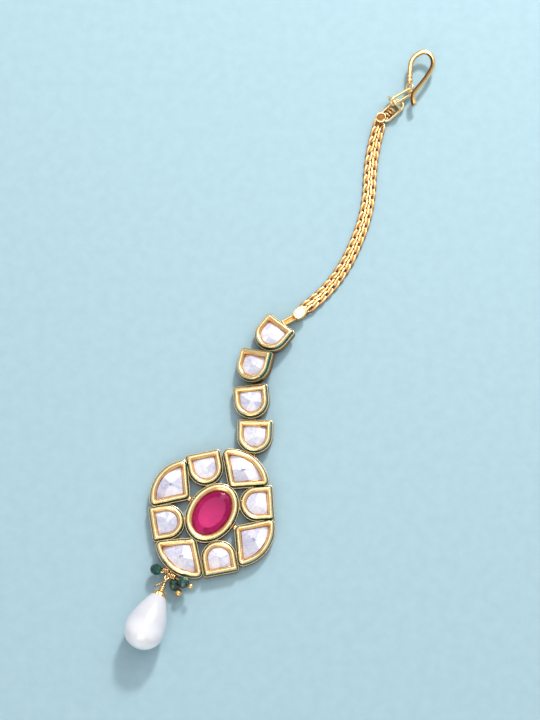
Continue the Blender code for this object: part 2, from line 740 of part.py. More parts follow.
def build():
    """Make every piece of the ornament."""
    for thing in list(bpy.data.objects):
        bpy.data.objects.remove(thing)

    gold = make_material("gold", (0.90, 0.62, 0.27), 1.0, 0.22)
    kundan = make_material("kundan_stone", (0.93, 0.92, 0.97), 0.0, 0.08, 0.35, 1.55)
    ruby = make_material("red_stone", (0.62, 0.03, 0.19), 0.0, 0.06, 0.55, 1.76)
    pearl = make_material("pearl_white", (0.93, 0.92, 0.91), 0.0, 0.16)
    green = make_material("green_stone", (0.01, 0.16, 0.12), 0.0, 0.10, 0.35, 1.57)
    up = Vector((0, 0, 1))

    # Pendant frame and its stones
    oval_place = flat_place(0, 0, LONG_AXIS)
    collets = [moved(collet(oval_outline, OVAL_RIM_WIDTH, OVAL_RISE), oval_place)]
    finish("red_stone", moved(stone(oval_outline, OVAL_RIM_WIDTH, 16, RUBY_CROWN,
                                    RUBY_TABLE_INSET), oval_place), ruby, smooth=False)
    for name, direction, turn in D_PLACES:
        x, y = polar(D_CENTRE_RADIUS, math.radians(direction))
        place = flat_place(x, y, direction + turn)
        collets.append(moved(collet(d_outline, rise=D_RISE), place))
        ball_x, ball_y = polar(SOLDER_RADIUS_D, math.radians(direction))
        collets.append(ball(Vector((ball_x, ball_y, SOLDER_HEIGHT)), SOLDER_BALL, 7, 4))
        finish("stone_" + name, moved(stone(d_outline), place), kundan, smooth=False)
    fan_places = {}
    for name, direction, distance, turn in FAN_PLACES:
        x, y = polar(distance, math.radians(direction))
        place = flat_place(x, y, direction + turn)
        fan_places[name] = place
        collets.append(moved(collet(fan_outline, rise=FAN_RISE), place))
        finish("stone_" + name, moved(stone(fan_outline, steps=6), place), kundan,
               smooth=False)
        ball_x, ball_y = polar(distance - SOLDER_SET_BACK, math.radians(direction))
        collets.append(ball(Vector((ball_x, ball_y, SOLDER_HEIGHT)), SOLDER_BALL, 7, 4))
    frame = boolean(collets[0], collets[1:], "UNION")
    fan_reach = FAN_RADIUS + LEDGE_OUT
    for name in ("north_east", "south_west"):
        place = fan_places[name] @ Matrix.Rotation(math.radians(FAN_ROD_TURN), 4, "Z")
        fan_places[name] = place
        frame = boolean(frame, [moved(hinge_notch(fan_reach), place)], "DIFFERENCE")
        frame = boolean(frame, [moved(hinge_rod(fan_reach), place)], "UNION")
    finish("pendant_frame", frame, gold)

    # Strand of hinged settings, read from the chain down to the pendant
    d_reach = D_DEPTH / 2 + LEDGE_OUT
    places = [rolled_place(x, y, angle, roll) for name, x, y, angle, roll in STRAND_PLACES]
    hinges = [hinge_point(place, d_reach) for place in places]
    hinges.append(hinge_point(fan_places["north_east"], fan_reach))
    for i, place in enumerate(places):
        name = STRAND_PLACES[i][0]
        body = boolean(collet(d_outline), [hinge_notch(d_reach)], "DIFFERENCE")
        body = moved(boolean(body, [hinge_rod(d_reach)], "UNION"), place)
        anchor = place @ Vector((STEM_REACH - d_reach, 0, ROD_HEIGHT))
        point, outward = hinges[i + 1]
        body = boolean(body, [hinge_loop(point, outward, anchor)], "UNION")
        finish("setting_" + name, body, gold)
        finish("stone_" + name, moved(stone(d_outline), place), kundan, smooth=False)

    # Chain and its end caps
    finish("chain_row_left", chain_row(1, 0.0), gold)
    finish("chain_row_right", chain_row(-1, 0.5), gold)
    start = Vector(CHAIN_ROUTE[0])
    way = (Vector(CHAIN_ROUTE[1]) - start)
    way.z = 0
    way.normalize()
    half = LOWER_CAP_LENGTH / 2
    centre = start + way * (LOWER_CAP_GRIP - CAP_GAP - half)
    cap = cap_body(centre, way, LOWER_CAP_LENGTH, LOWER_CAP_WIDTH, LOWER_CAP_DOME)
    slot = cap_block(centre, way, half - LOWER_CAP_GRIP, half + PAST, half + PAST,
                     SLOT_HALF_HEIGHT)
    cap = boolean(cap, [slot], "DIFFERENCE")
    point, outward = hinges[0]
    tongue_end = point + outward * (LOOP_RADIUS + TONGUE_THICKNESS / 2)
    cap = boolean(cap, [tongue(centre - way * LOWER_CAP_LENGTH / 4, tongue_end),
                        hinge_loop(point, outward, tongue_end + outward * 0.3)], "UNION")
    finish("lower_end_cap", cap, gold)

    end = Vector(CHAIN_ROUTE[-1])
    back = (Vector(CHAIN_ROUTE[-2]) - end)
    back.z = 0
    back.normalize()
    half = UPPER_CAP_LENGTH / 2
    centre = end + back * (UPPER_CAP_GRIP - CAP_GAP - half)
    cap = cap_body(centre, back, UPPER_CAP_LENGTH, UPPER_CAP_WIDTH, UPPER_CAP_DOME)
    slot = cap_block(centre, back, -half - PAST, half + PAST, half + PAST, SLOT_HALF_HEIGHT)
    cap = boolean(cap, [slot], "DIFFERENCE")
    post_foot = centre - back * (half - POST_SET_IN) - up.cross(-back) * POST_ASIDE
    post_reach = up * (SLOT_HALF_HEIGHT + CAP_PLATE / 2)
    post = rod(post_foot - post_reach, post_foot + post_reach, POST_RADIUS, 8)
    finish("upper_end_cap", boolean(cap, [post], "UNION"), gold)

    # Rings and hook
    bail_way = Vector(BAIL_WAY).normalized()
    bail_across = up.cross(bail_way)
    near = post_foot - bail_way * (POST_RADIUS + RING_WIRE + LINK_PLAY)
    near.z = BAIL_NEAR_HEIGHT
    bail_slope = (bail_way + up * BAIL_RISE).normalized()
    finish("bail_ring", oval_ring(near + bail_slope * BAIL_LENGTH / 2, bail_slope, bail_across,
                                  BAIL_LENGTH / 2, BAIL_WIDTH / 2, RING_WIRE), gold)
    stand_centre = (near + bail_slope * (BAIL_LENGTH - STAND_RING_BACK)
                    + bail_across * STAND_RING_ASIDE)
    stand_centre.z = STAND_RING_RADIUS + RING_WIRE + FLOOR_GAP
    finish("standing_ring", oval_ring(stand_centre, bail_across, up, STAND_RING_RADIUS,
                                      STAND_RING_RADIUS, RING_WIRE), gold)
    link_start = stand_centre + up * (STAND_RING_RADIUS - LINK_PLAY)
    link_end = hook_eye() - Vector((0, HOOK_EYE_RADIUS, HOOK_LINK_DROP))
    link_way = (link_end - link_start).normalized()
    link_level = up.cross(link_way).normalized()
    link_across = (link_level * math.cos(HOOK_LINK_ROLL)
                   + link_way.cross(link_level) * math.sin(HOOK_LINK_ROLL))
    link_half = (link_end - link_start).length / 2 + RING_WIRE * 2 + HOOK_LINK_PLAY
    finish("hook_link", oval_ring((link_end + link_start) / 2, link_way, link_across,
                                  link_half, HOOK_LINK_WIDTH / 2, RING_WIRE), gold)
    finish("hair_hook", hook_body(), gold)

    # Drop: ring, beads on pins and pearl
    rod_point, outward = hinge_point(fan_places["south_west"], fan_reach)
    along = outward * math.cos(DROP_RING_TILT) + up * math.sin(DROP_RING_TILT)
    across = up * math.cos(DROP_RING_TILT) - outward * math.sin(DROP_RING_TILT)
    ring_centre = rod_point + along * (DROP_RING_LENGTH / 2 - ROD_RADIUS - LOOP_WIRE
                                       - LINK_PLAY)
    finish("drop_ring", oval_ring(ring_centre, along, across, DROP_RING_LENGTH / 2,
                                  DROP_RING_WIDTH / 2, LOOP_WIRE), gold)
    for name, angle, back, middle, head, wraps in BEAD_PLACES:
        loop_centre, axis = ring_station(ring_centre, along, across, angle, back)
        target = Vector(middle)
        way = (target - loop_centre).normalized()
        finish("pin_" + name, pin(loop_centre, axis, target, wraps, BEAD_RADIUS, head), gold)
        finish("bead_" + name, bead(target, way), green, smooth=False)

    round_end = Vector(PEARL_BALL)
    neck = Vector(PEARL_NECK)
    axis = (neck - round_end).normalized()
    base = round_end - axis * PEARL_PROFILE[4][1]
    finish("pearl", turned(base, axis, PEARL_PROFILE, PEARL_SIDES), pearl)
    cap_foot = base + axis * (PEARL_PROFILE[-1][0] + PEARL_CAP_GAP)
    rows = ((0.0, 1.0), (0.25, 1.0), (0.55, 0.80), (0.85, 0.45), (1.0, 0.22))
    dome = turned(cap_foot, axis, [(PEARL_CAP_RISE * reach, PEARL_CAP_RADIUS * share)
                                   for reach, share in rows], 12)
    loop_centre, normal = ring_station(ring_centre, along, across, PEARL_RING_ANGLE, 0.0)
    cap_top = cap_foot + axis * (PEARL_CAP_RISE * 0.7)
    hanger = pin(loop_centre, normal, cap_top, 4, 0.0, 0.0)
    finish("pearl_cap", boolean(dome, [hanger], "UNION"), gold)


build()
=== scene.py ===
"""Looks of a maang tikka: a kundan pendant, its strand, chain, hair hook and pearl drop.

Every surface is worked out with numpy in millimetres and put into a mesh in metres.  Each
sub-assembly is a class with its sizes as fields; each finish is a small frozen class.
"""

import logging
import math
from dataclasses import dataclass, field
from enum import Enum
from typing import Callable, Optional, Sequence

import bpy
import numpy as np
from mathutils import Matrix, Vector

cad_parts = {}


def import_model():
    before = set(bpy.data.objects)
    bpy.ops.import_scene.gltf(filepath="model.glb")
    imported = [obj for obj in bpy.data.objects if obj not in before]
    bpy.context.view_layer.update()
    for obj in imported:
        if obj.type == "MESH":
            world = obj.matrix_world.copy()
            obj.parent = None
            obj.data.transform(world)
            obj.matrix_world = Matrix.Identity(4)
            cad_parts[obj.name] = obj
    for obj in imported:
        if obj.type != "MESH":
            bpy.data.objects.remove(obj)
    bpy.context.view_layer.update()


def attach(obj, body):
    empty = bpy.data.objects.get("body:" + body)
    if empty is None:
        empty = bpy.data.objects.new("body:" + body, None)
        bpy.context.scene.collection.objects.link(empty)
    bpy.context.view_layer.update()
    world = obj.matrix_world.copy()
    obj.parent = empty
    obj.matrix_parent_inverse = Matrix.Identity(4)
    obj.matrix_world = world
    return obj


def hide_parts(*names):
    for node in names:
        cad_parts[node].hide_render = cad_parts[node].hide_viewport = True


MM = 0.001
QUARTER = math.pi / 2
UP = np.array([0.0, 0.0, 1.0])
LOG = logging.getLogger("maang_tikka")


class Way(Enum):
    """Ways in which a grid of points closes on itself."""

    OPEN = "open"
    TUBE = "tube"
    RING = "ring"


# Numpy surfaces


@dataclass
class Surface:
    """Faces over points in millimetres, with a tone and a facet number for each point.

    On gold the tone runs from 0 on a burnished edge painted with a highlight to 1 in painted
    shade in a corner, and the facet number is a share of painted shade.  On a stone the facet
    number is the painted shade of its facet.
    """

    points: np.ndarray
    quads: np.ndarray
    triangles: np.ndarray
    tone: np.ndarray
    facet: np.ndarray
    quad_slots: np.ndarray
    triangle_slots: np.ndarray

    def outward(self) -> "Surface":
        """Turn the faces so that they enclose a positive volume.

        The volume is the sum of first . (second x third) over all triangles, where a quad
        counts as the two triangles on its diagonal.
        """
        fans = np.vstack([self.quads[:, [0, 1, 2]], self.quads[:, [0, 2, 3]], self.triangles])
        corners = self.points[fans]
        volume = np.einsum("ij,ij->", corners[:, 0], np.cross(corners[:, 1], corners[:, 2]))
        if volume < 0:
            self.quads = self.quads[:, ::-1]
            self.triangles = self.triangles[:, ::-1]
        return self

    def placed(self, place: "Place") -> "Surface":
        """Move the points with a place."""
        self.points = place.apply(self.points)
        return self

    def slotted(self, slot: int) -> "Surface":
        """Give every face one finish."""
        self.quad_slots = np.full(len(self.quads), slot)
        self.triangle_slots = np.full(len(self.triangles), slot)
        return self


def joined(parts: Sequence[Surface]) -> Surface:
    """Join surfaces into one by shifting each one's face numbers past the points before it.

    Args:
        parts: the surfaces, each closed in itself.

    Returns:
        One surface with all points and faces.
    """
    shifts = np.cumsum([0] + [len(part.points) for part in parts[:-1]])
    return Surface(
        np.vstack([part.points for part in parts]),
        np.vstack([part.quads + shift for part, shift in zip(parts, shifts)]),
        np.vstack([part.triangles + shift for part, shift in zip(parts, shifts)]),
        np.concatenate([part.tone for part in parts]),
        np.concatenate([part.facet for part in parts]),
        np.concatenate([part.quad_slots for part in parts]),
        np.concatenate([part.triangle_slots for part in parts]),
    )


def skin(grid: np.ndarray, way: Way = Way.TUBE, tone: Optional[np.ndarray] = None,
         facet: Optional[np.ndarray] = None, row_slots: Optional[np.ndarray] = None) -> Surface:
    """Cover a grid of points (rows, columns, 3) with quads.

    Point (i, j) joins (i + 1, j), (i + 1, j + 1) and (i, j + 1), counted round where the
    grid closes.  A tube closes its columns and gets a middle point over each end; a ring
    closes rows and columns.

    Args:
        grid: the points.
        way: how the grid closes.
        tone: tone of each point, shaped (rows, columns) or (rows, 1).
        facet: facet number of each point, shaped as the tone.
        row_slots: finish number of the faces after each row.

    Returns:
        The surface with its faces outward.
    """
    rows, columns = grid.shape[:2]
    number = np.arange(rows * columns).reshape(rows, columns)
    if way is not Way.OPEN:
        number = np.hstack([number, number[:, :1]])
    if way is Way.RING:
        number = np.vstack([number, number[:1]])
    quads = np.stack([number[:-1, :-1], number[1:, :-1], number[1:, 1:], number[:-1, 1:]],
                     axis=-1).reshape(-1, 4)
    per_row = number.shape[1] - 1
    slots = np.zeros(number.shape[0] - 1, dtype=int) if row_slots is None else row_slots
    shape = (rows, columns)
    tones = np.broadcast_to(0.0 if tone is None else tone, shape).reshape(-1)
    facets = np.broadcast_to(0.0 if facet is None else facet, shape).reshape(-1)
    points = grid.reshape(-1, 3)
    triangles = np.zeros((0, 3), dtype=int)
    triangle_slots = np.zeros(0, dtype=int)
    if way is Way.TUBE:
        middles = grid[[0, -1]].mean(axis=1)
        low, high = len(points), len(points) + 1
        first, last = number[0], number[-1]
        triangles = np.vstack([
            np.stack([np.full(columns, low), first[:-1], first[1:]], axis=-1),
            np.stack([np.full(columns, high), last[1:], last[:-1]], axis=-1)])
        triangle_slots = np.repeat([slots[0], slots[-1]], columns)
        points = np.vstack([points, middles])
        tones = np.append(tones, [tones[0], tones[-1]])
        facets = np.append(facets, [facets[0], facets[-1]])
    made = Surface(points, quads, triangles, tones, facets, np.repeat(slots, per_row),
                   triangle_slots)
    return made.outward()


def make_piece(name: str, surface: Surface, finishes: Sequence[bpy.types.Material],
               sharp_degrees: float = 50.0) -> bpy.types.Object:
    """Put a surface into a mesh object at the origin.

    Args:
        name: name of the piece.
        surface: its points and faces.
        finishes: materials in the order of the surface's slots.
        sharp_degrees: edges that turn more than this stay sharp.

    Returns:
        The new object.
    """
    mesh = bpy.data.meshes.new(name)
    faces = surface.quads.tolist() + surface.triangles.tolist()
    mesh.from_pydata((surface.points * MM).tolist(), [], faces)
    for finish in finishes:
        mesh.materials.append(finish)
    slots = np.concatenate([surface.quad_slots, surface.triangle_slots]).astype(np.int32)
    mesh.polygons.foreach_set("material_index", slots)
    for label, values in (("tone", surface.tone), ("facet", surface.facet)):
        layer = mesh.attributes.new(label, "FLOAT", "POINT")
        layer.data.foreach_set("value", values.astype(np.float32))
    mesh.update()
    mesh.shade_smooth()
    mesh.set_sharp_from_angle(angle=math.radians(sharp_degrees))
    piece = bpy.data.objects.new(name, mesh)
    bpy.context.collection.objects.link(piece)
    return piece


def stand_in_for(piece: bpy.types.Object, slot: str, *nodes: str) -> None:
    """Let a piece ride on the body and replace its CAD nodes."""
    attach(piece, "root")
    if nodes:
        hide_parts(*nodes)
    LOG.info("%s: %d faces for %s", piece.name, len(piece.data.polygons), ", ".join(nodes))


def dress(node: str, slot: str, name: str, surface: Surface,
          finishes: Sequence[bpy.types.Material], sharp_degrees: float = 50.0) -> None:
    """Make a piece of a surface and let it stand in for one CAD node."""
    stand_in_for(make_piece(name, surface, finishes, sharp_degrees), slot, node)


def unit(rows: np.ndarray) -> np.ndarray:
    """Scale vectors along the last axis to length one."""
    return rows / np.maximum(np.linalg.norm(rows, axis=-1, keepdims=True), 1e-12)


def bearing(degrees: float) -> np.ndarray:
    """Level unit vector at an angle from X: (cos, sin, 0)."""
    angle = math.radians(degrees)
    return np.array([math.cos(angle), math.sin(angle), 0.0])


def lift_for(way: np.ndarray) -> np.ndarray:
    """UP, or X where the way itself is nearly upright."""
    return UP if abs(way[2]) < 0.9 else np.array([1.0, 0.0, 0.0])


def square_to(way: np.ndarray) -> tuple:
    """Two unit vectors square to a way and to each other."""
    across = unit(np.cross(way, lift_for(way)))
    return across, np.cross(way, across)


def distances(line: np.ndarray) -> np.ndarray:
    """Distance of each point of a line from its first, along the line."""
    return np.concatenate([[0], np.cumsum(np.linalg.norm(np.diff(line, axis=0), axis=1))])


def read_at(line: np.ndarray, where: np.ndarray) -> np.ndarray:
    """Points of a line at the wanted distances along it."""
    reach = distances(line)
    return np.stack([np.interp(where, reach, line[:, axis]) for axis in range(3)], axis=-1)


def smooth_path(knots: np.ndarray, count: int) -> np.ndarray:
    """Points evenly spaced along a smooth curve through knots.

    Each span is a cubic whose slope at a knot is half the way from the knot before to the
    knot after; the curve is then read at equal steps of its length.

    Args:
        knots: points to pass through, shaped (n, 3).
        count: number of points wanted.

    Returns:
        Points shaped (count, 3).
    """
    before = np.vstack([2 * knots[0] - knots[1], knots])
    after = np.vstack([knots, 2 * knots[-1] - knots[-2]])
    slopes = (after[1:] - before[:-1]) / 2
    t = np.linspace(0, 1, 33)[None, :-1, None]
    start, end = knots[:-1, None], knots[1:, None]
    pull, push = slopes[:-1, None], slopes[1:, None]
    curve = (start * (2 * t ** 3 - 3 * t ** 2 + 1) + pull * (t ** 3 - 2 * t ** 2 + t)
             + end * (3 * t ** 2 - 2 * t ** 3) + push * (t ** 3 - t ** 2)).reshape(-1, 3)
    curve = np.vstack([curve, knots[-1]])
    return read_at(curve, np.linspace(0, distances(curve)[-1], count))


def sweep(path: np.ndarray, section: np.ndarray, lift: np.ndarray, ring: bool = False,
          swell: Optional[np.ndarray] = None) -> np.ndarray:
    """Carry a flat section along a path.

    At each point the tangent is the way from the point before to the point after, the side
    is tangent x lift and the height is side x tangent; a section point (a, b) lands at
    path + a side + b height.

    Args:
        path: points shaped (n, 3).
        section: section points shaped (m, 2), or (n, m, 2) where it changes.
        lift: rough direction of the height, shaped (3,) or (n, 3).
        ring: whether the path closes on itself.
        swell: factor of the section at each point of the path.

    Returns:
        A grid shaped (n, m, 3).
    """
    if ring:
        tangent = unit(np.roll(path, -1, axis=0) - np.roll(path, 1, axis=0))
    else:
        tangent = unit(np.gradient(path, axis=0))
    side = unit(np.cross(tangent, np.broadcast_to(lift, path.shape)))
    height = np.cross(side, tangent)
    shape = np.broadcast_to(section, (len(path),) + section.shape[-2:])
    if swell is not None:
        shape = shape * swell[:, None, None]
    return (path[:, None] + side[:, None] * shape[..., :1] + height[:, None] * shape[..., 1:])


def round_section(radius: float, sides: int, flat: float = 1.0) -> np.ndarray:
    """A circle of points, pressed to a share of its height: (r cos, flat r sin)."""
    angle = (np.arange(sides) + 0.5) * math.tau / sides
    return np.stack([radius * np.cos(angle), flat * radius * np.sin(angle)], axis=-1)


def strip_section(half_width: float, half_height: float, sides: int, power: float) -> np.ndarray:
    """A box with rounded corners: |x/w|^p + |y/h|^p = 1 read at equal angles."""
    angle = (np.arange(sides) + 0.5) * math.tau / sides
    blunt = (np.abs(np.cos(angle)) ** power + np.abs(np.sin(angle)) ** power) ** (-1 / power)
    return np.stack([half_width * blunt * np.cos(angle), half_height * blunt * np.sin(angle)],
                    axis=-1)


def oval_path(centre: np.ndarray, along: np.ndarray, across: np.ndarray, half_length: float,
              half_width: float, count: int) -> np.ndarray:
    """A ring with two round ends: the end circles' middles lie half_length - half_width out.

    Each point is centre + end middle + half_width (along cos + across sin).
    """
    angle = (np.arange(count) + 0.5) * math.tau / count
    ends = np.sign(np.cos(angle)) * (half_length - half_width) + half_width * np.cos(angle)
    return centre + ends[:, None] * along + (half_width * np.sin(angle))[:, None] * across


def oval_ring(centre: np.ndarray, along: np.ndarray, across: np.ndarray, half_length: float,
              half_width: float, wire: float, count: int = 64, sides: int = 14,
              tall: float = 1.0) -> Surface:
    """A closed ring of round or tall wire, the section carried along an oval path."""
    path = oval_path(centre, along, across, half_length, half_width, count)
    section = round_section(wire, sides, tall)
    grid = sweep(path, section, np.cross(along, across), ring=True)
    inner = unit(path - centre)[:, None]
    # Painted shade: the tone rises to 0.45 on the ring's inner side.
    tone = 0.45 * np.clip(-np.einsum("ijk,ijk->ij", grid - path[:, None], inner) / wire, 0, 1)
    return skin(grid, Way.RING, tone)


def round_ring(centre: np.ndarray, along: np.ndarray, across: np.ndarray, radius: float,
               wire: float, count: int, sides: int = 14) -> Surface:
    """A closed round ring of round wire."""
    return oval_ring(centre, along, across, radius, radius, wire, count, sides)


def rod(start: np.ndarray, end: np.ndarray, radius: float, sides: int = 14) -> Surface:
    """A straight round rod, a circle carried from start to end."""
    path = start + np.linspace(0, 1, 3)[:, None] * (end - start)
    grid = sweep(path, round_section(radius, sides), lift_for(unit(end - start)))
    return skin(grid, tone=np.full((3, 1), 0.5))


def turned(start: np.ndarray, way: np.ndarray, profile: np.ndarray, sides: int,
           flute: Optional[Callable[[np.ndarray, np.ndarray], np.ndarray]] = None,
           tone: Optional[np.ndarray] = None) -> Surface:
    """A body turned round an axis: start + way z + r (across cos + up sin).

    Args:
        start: the axis's starting point.
        way: the axis's direction.
        profile: rows of distance along the axis and radius.
        sides: number of points round the axis.
        flute: factor of the radius from (row number share, angle), or nothing.
        tone: tone of each row.

    Returns:
        The closed surface.
    """
    across, height = square_to(way)
    angle = np.arange(sides) * math.tau / sides
    share = np.linspace(0, 1, len(profile))[:, None]
    radius = profile[:, 1:] * np.ones((1, sides))
    if flute is not None:
        radius = radius * flute(share, angle[None])
    spoke = np.cos(angle)[:, None] * across + np.sin(angle)[:, None] * height
    grid = (start + profile[:, :1] * way)[:, None] + radius[..., None] * spoke[None]
    return skin(grid, tone=None if tone is None else tone[:, None])


def ball(centre: np.ndarray, radius: float, columns: int = 24, rows: int = 14) -> Surface:
    """A ball: the profile r sin(v) is turned round the vertical while z is -r cos(v)."""
    v = np.linspace(0.06, math.pi - 0.06, rows)
    profile = np.stack([-radius * np.cos(v), radius * np.sin(v)], axis=-1)
    # Painted light and shade: the tone falls from 0.9 at the bottom to 0.1 at the top.
    return turned(centre, UP, profile, columns, tone=np.linspace(0.9, 0.1, rows))


def coil(start: np.ndarray, way: np.ndarray, radius: float, turns: float, length: float,
         wire: float, sides: int = 8, swell: float = 0.0, pits_and_shade: float = 0.75) -> Surface:
    """Round wire wound round an axis.

    The path is start + way (length t) + (radius + swell sin(pi t)) (across cos + up sin)
    at an angle of turns t full turns.

    Args:
        start: middle of the first turn.
        way: the axis.
        radius: distance from the axis to the middle of the wire.
        turns: number of turns.
        length: how far the coil runs along the axis.
        wire: radius of the wire.
        sides: points round the wire.
        swell: how much wider the coil is in its middle.
        pits_and_shade: share of painted shade between the turns.

    Returns:
        The closed surface.
    """
    across, height = square_to(way)
    t = np.linspace(0, 1, int(22 * turns) + 2)[:, None]
    angle = math.tau * turns * t
    spoke = across * np.cos(angle) + height * np.sin(angle)
    path = start + way * (length * t) + spoke * (radius + swell * np.sin(math.pi * t))
    grid = sweep(path, round_section(wire, sides), spoke)
    # Painted shade between the turns: tone and dark share rise on the wire's side towards the
    # axis.
    deep_shade = np.einsum("ijk,ik->ij", path[:, None] - grid, spoke) / wire
    return skin(grid, tone=np.clip(0.85 + 0.5 * deep_shade, 0, 1),
                facet=np.clip(pits_and_shade + 1.1 * deep_shade, 0, 0.9))


def wander(count: int, seed: int, waves: int = 7) -> np.ndarray:
    """A closed run of small swells: the sum over k of sin(k angle + phase) / sqrt(k).

    Args:
        count: number of points round the run.
        seed: seed of the phases.
        waves: highest number of swells in one turn.

    Returns:
        Values of about -1 to 1, shaped (count,).
    """
    phases = np.random.default_rng(seed).uniform(0, math.tau, waves)
    k = np.arange(2, 2 + waves)[:, None]
    angle = np.arange(count)[None] * math.tau / count
    return (np.sin(k * angle + phases[:, None]) / np.sqrt(k)).sum(axis=0) / 1.6


@dataclass(frozen=True)
class Place:
    """A turn and a shift that carry a part's own points into the shared frame."""

    turn: np.ndarray
    shift: np.ndarray

    @classmethod
    def flat(cls, x: float, y: float, degrees: float) -> "Place":
        """On the floor at x, y, turned about the vertical."""
        angle = math.radians(degrees)
        turn = np.array([[math.cos(angle), -math.sin(angle), 0],
                         [math.sin(angle), math.cos(angle), 0], [0, 0, 1]])
        return cls(turn, np.array([x, y, 0.0]))

    def rolled(self, degrees: float, lip_height: float, half_width: float) -> "Place":
        """The same place with the right side lifted and the left edge kept on the floor."""
        lean = math.radians(-degrees)
        roll = np.array([[1, 0, 0], [0, math.cos(lean), -math.sin(lean)],
                         [0, math.sin(lean), math.cos(lean)]])
        shift = np.array([0.0, lip_height * math.sin(lean), -half_width * math.sin(lean)])
        return Place(self.turn @ roll, self.shift + self.turn @ shift)

    def turned(self, degrees: float) -> "Place":
        """The same place turned further about its own upright axis."""
        return Place(self.turn @ Place.flat(0, 0, degrees).turn, self.shift)

    def apply(self, points: np.ndarray) -> np.ndarray:
        """Carry points into the shared frame."""
        return points @ self.turn.T + self.shift


# Node groups and finishes


class Builder:
    """Adds and links nodes in one node tree."""

    def __init__(self, tree: bpy.types.NodeTree) -> None:
        """Keep the tree."""
        self.tree = tree

    def add(self, kind: str, **settings: object) -> bpy.types.Node:
        """Add a node; settings name its properties or, with in_ and a number, its inputs."""
        node = self.tree.nodes.new(kind)
        for name, value in settings.items():
            if name.startswith("in_"):
                node.inputs[int(name[3:])].default_value = value
            else:
                setattr(node, name, value)
        return node

    def put(self, value: object, target: bpy.types.NodeSocket) -> None:
        """Link a socket to an input, or set the input to a value."""
        if isinstance(value, bpy.types.NodeSocket):
            self.tree.links.new(value, target)
        else:
            target.default_value = value

    def math(self, operation: str, first: object, second: object) -> bpy.types.NodeSocket:
        """A Math node of two values or sockets."""
        node = self.add("ShaderNodeMath", operation=operation)
        self.put(first, node.inputs[0])
        self.put(second, node.inputs[1])
        return node.outputs[0]

    def times(self, first: object, second: object) -> bpy.types.NodeSocket:
        """The product of two values or sockets."""
        return self.math("MULTIPLY", first, second)

    def mix(self, factor: object, first: object, second: object) -> bpy.types.NodeSocket:
        """A colour Mix node of two colours or sockets."""
        node = self.add("ShaderNodeMix", data_type="RGBA")
        for number, value in ((0, factor), (6, first), (7, second)):
            self.put(value, node.inputs[number])
        return node.outputs[2]

    def remap(self, value: bpy.types.NodeSocket, low: float, high: float,
              to_low: float = 0.0, to_high: float = 1.0) -> bpy.types.NodeSocket:
        """A clamped Map Range node."""
        node = self.add("ShaderNodeMapRange", in_1=low, in_2=high, in_3=to_low, in_4=to_high)
        self.put(value, node.inputs[0])
        return node.outputs[0]

    def place(self, scale: object) -> bpy.types.NodeSocket:
        """Object coordinates times a scale."""
        node = self.add("ShaderNodeVectorMath", operation="SCALE")
        self.put(self.add("ShaderNodeTexCoord").outputs["Object"], node.inputs[0])
        self.put(scale, node.inputs[3])
        return node.outputs[0]

    def noise(self, where: bpy.types.NodeSocket, scale: float, detail: float,
              **settings: float) -> bpy.types.NodeSocket:
        """A Noise texture read at a place; further settings as for add."""
        node = self.add("ShaderNodeTexNoise", in_2=scale, in_3=detail, **settings)
        self.put(where, node.inputs["Vector"])
        return node.outputs[0]

    def attribute(self, name: str) -> bpy.types.NodeSocket:
        """One of the piece's own attributes."""
        return self.add("ShaderNodeAttribute", attribute_name=name).outputs["Fac"]


def new_group(name: str, inputs: Sequence[tuple], outputs: Sequence[tuple]) -> tuple:
    """Make a shader node group with named sockets.

    Args:
        name: name of the group.
        inputs: name, socket type and default of each input.
        outputs: name and socket type of each output.

    Returns:
        The builder of the group's tree, its given sockets and its sockets to fill.
    """
    tree = bpy.data.node_groups.new(name, "ShaderNodeTree")
    for label, kind, value in inputs:
        socket = tree.interface.new_socket(label, in_out="INPUT", socket_type=kind)
        socket.default_value = value
    for label, kind in outputs:
        tree.interface.new_socket(label, in_out="OUTPUT", socket_type=kind)
    builder = Builder(tree)
    return builder, builder.add("NodeGroupInput").outputs, builder.add("NodeGroupOutput").inputs


FLOAT = "NodeSocketFloat"
COLOUR = "NodeSocketColor"


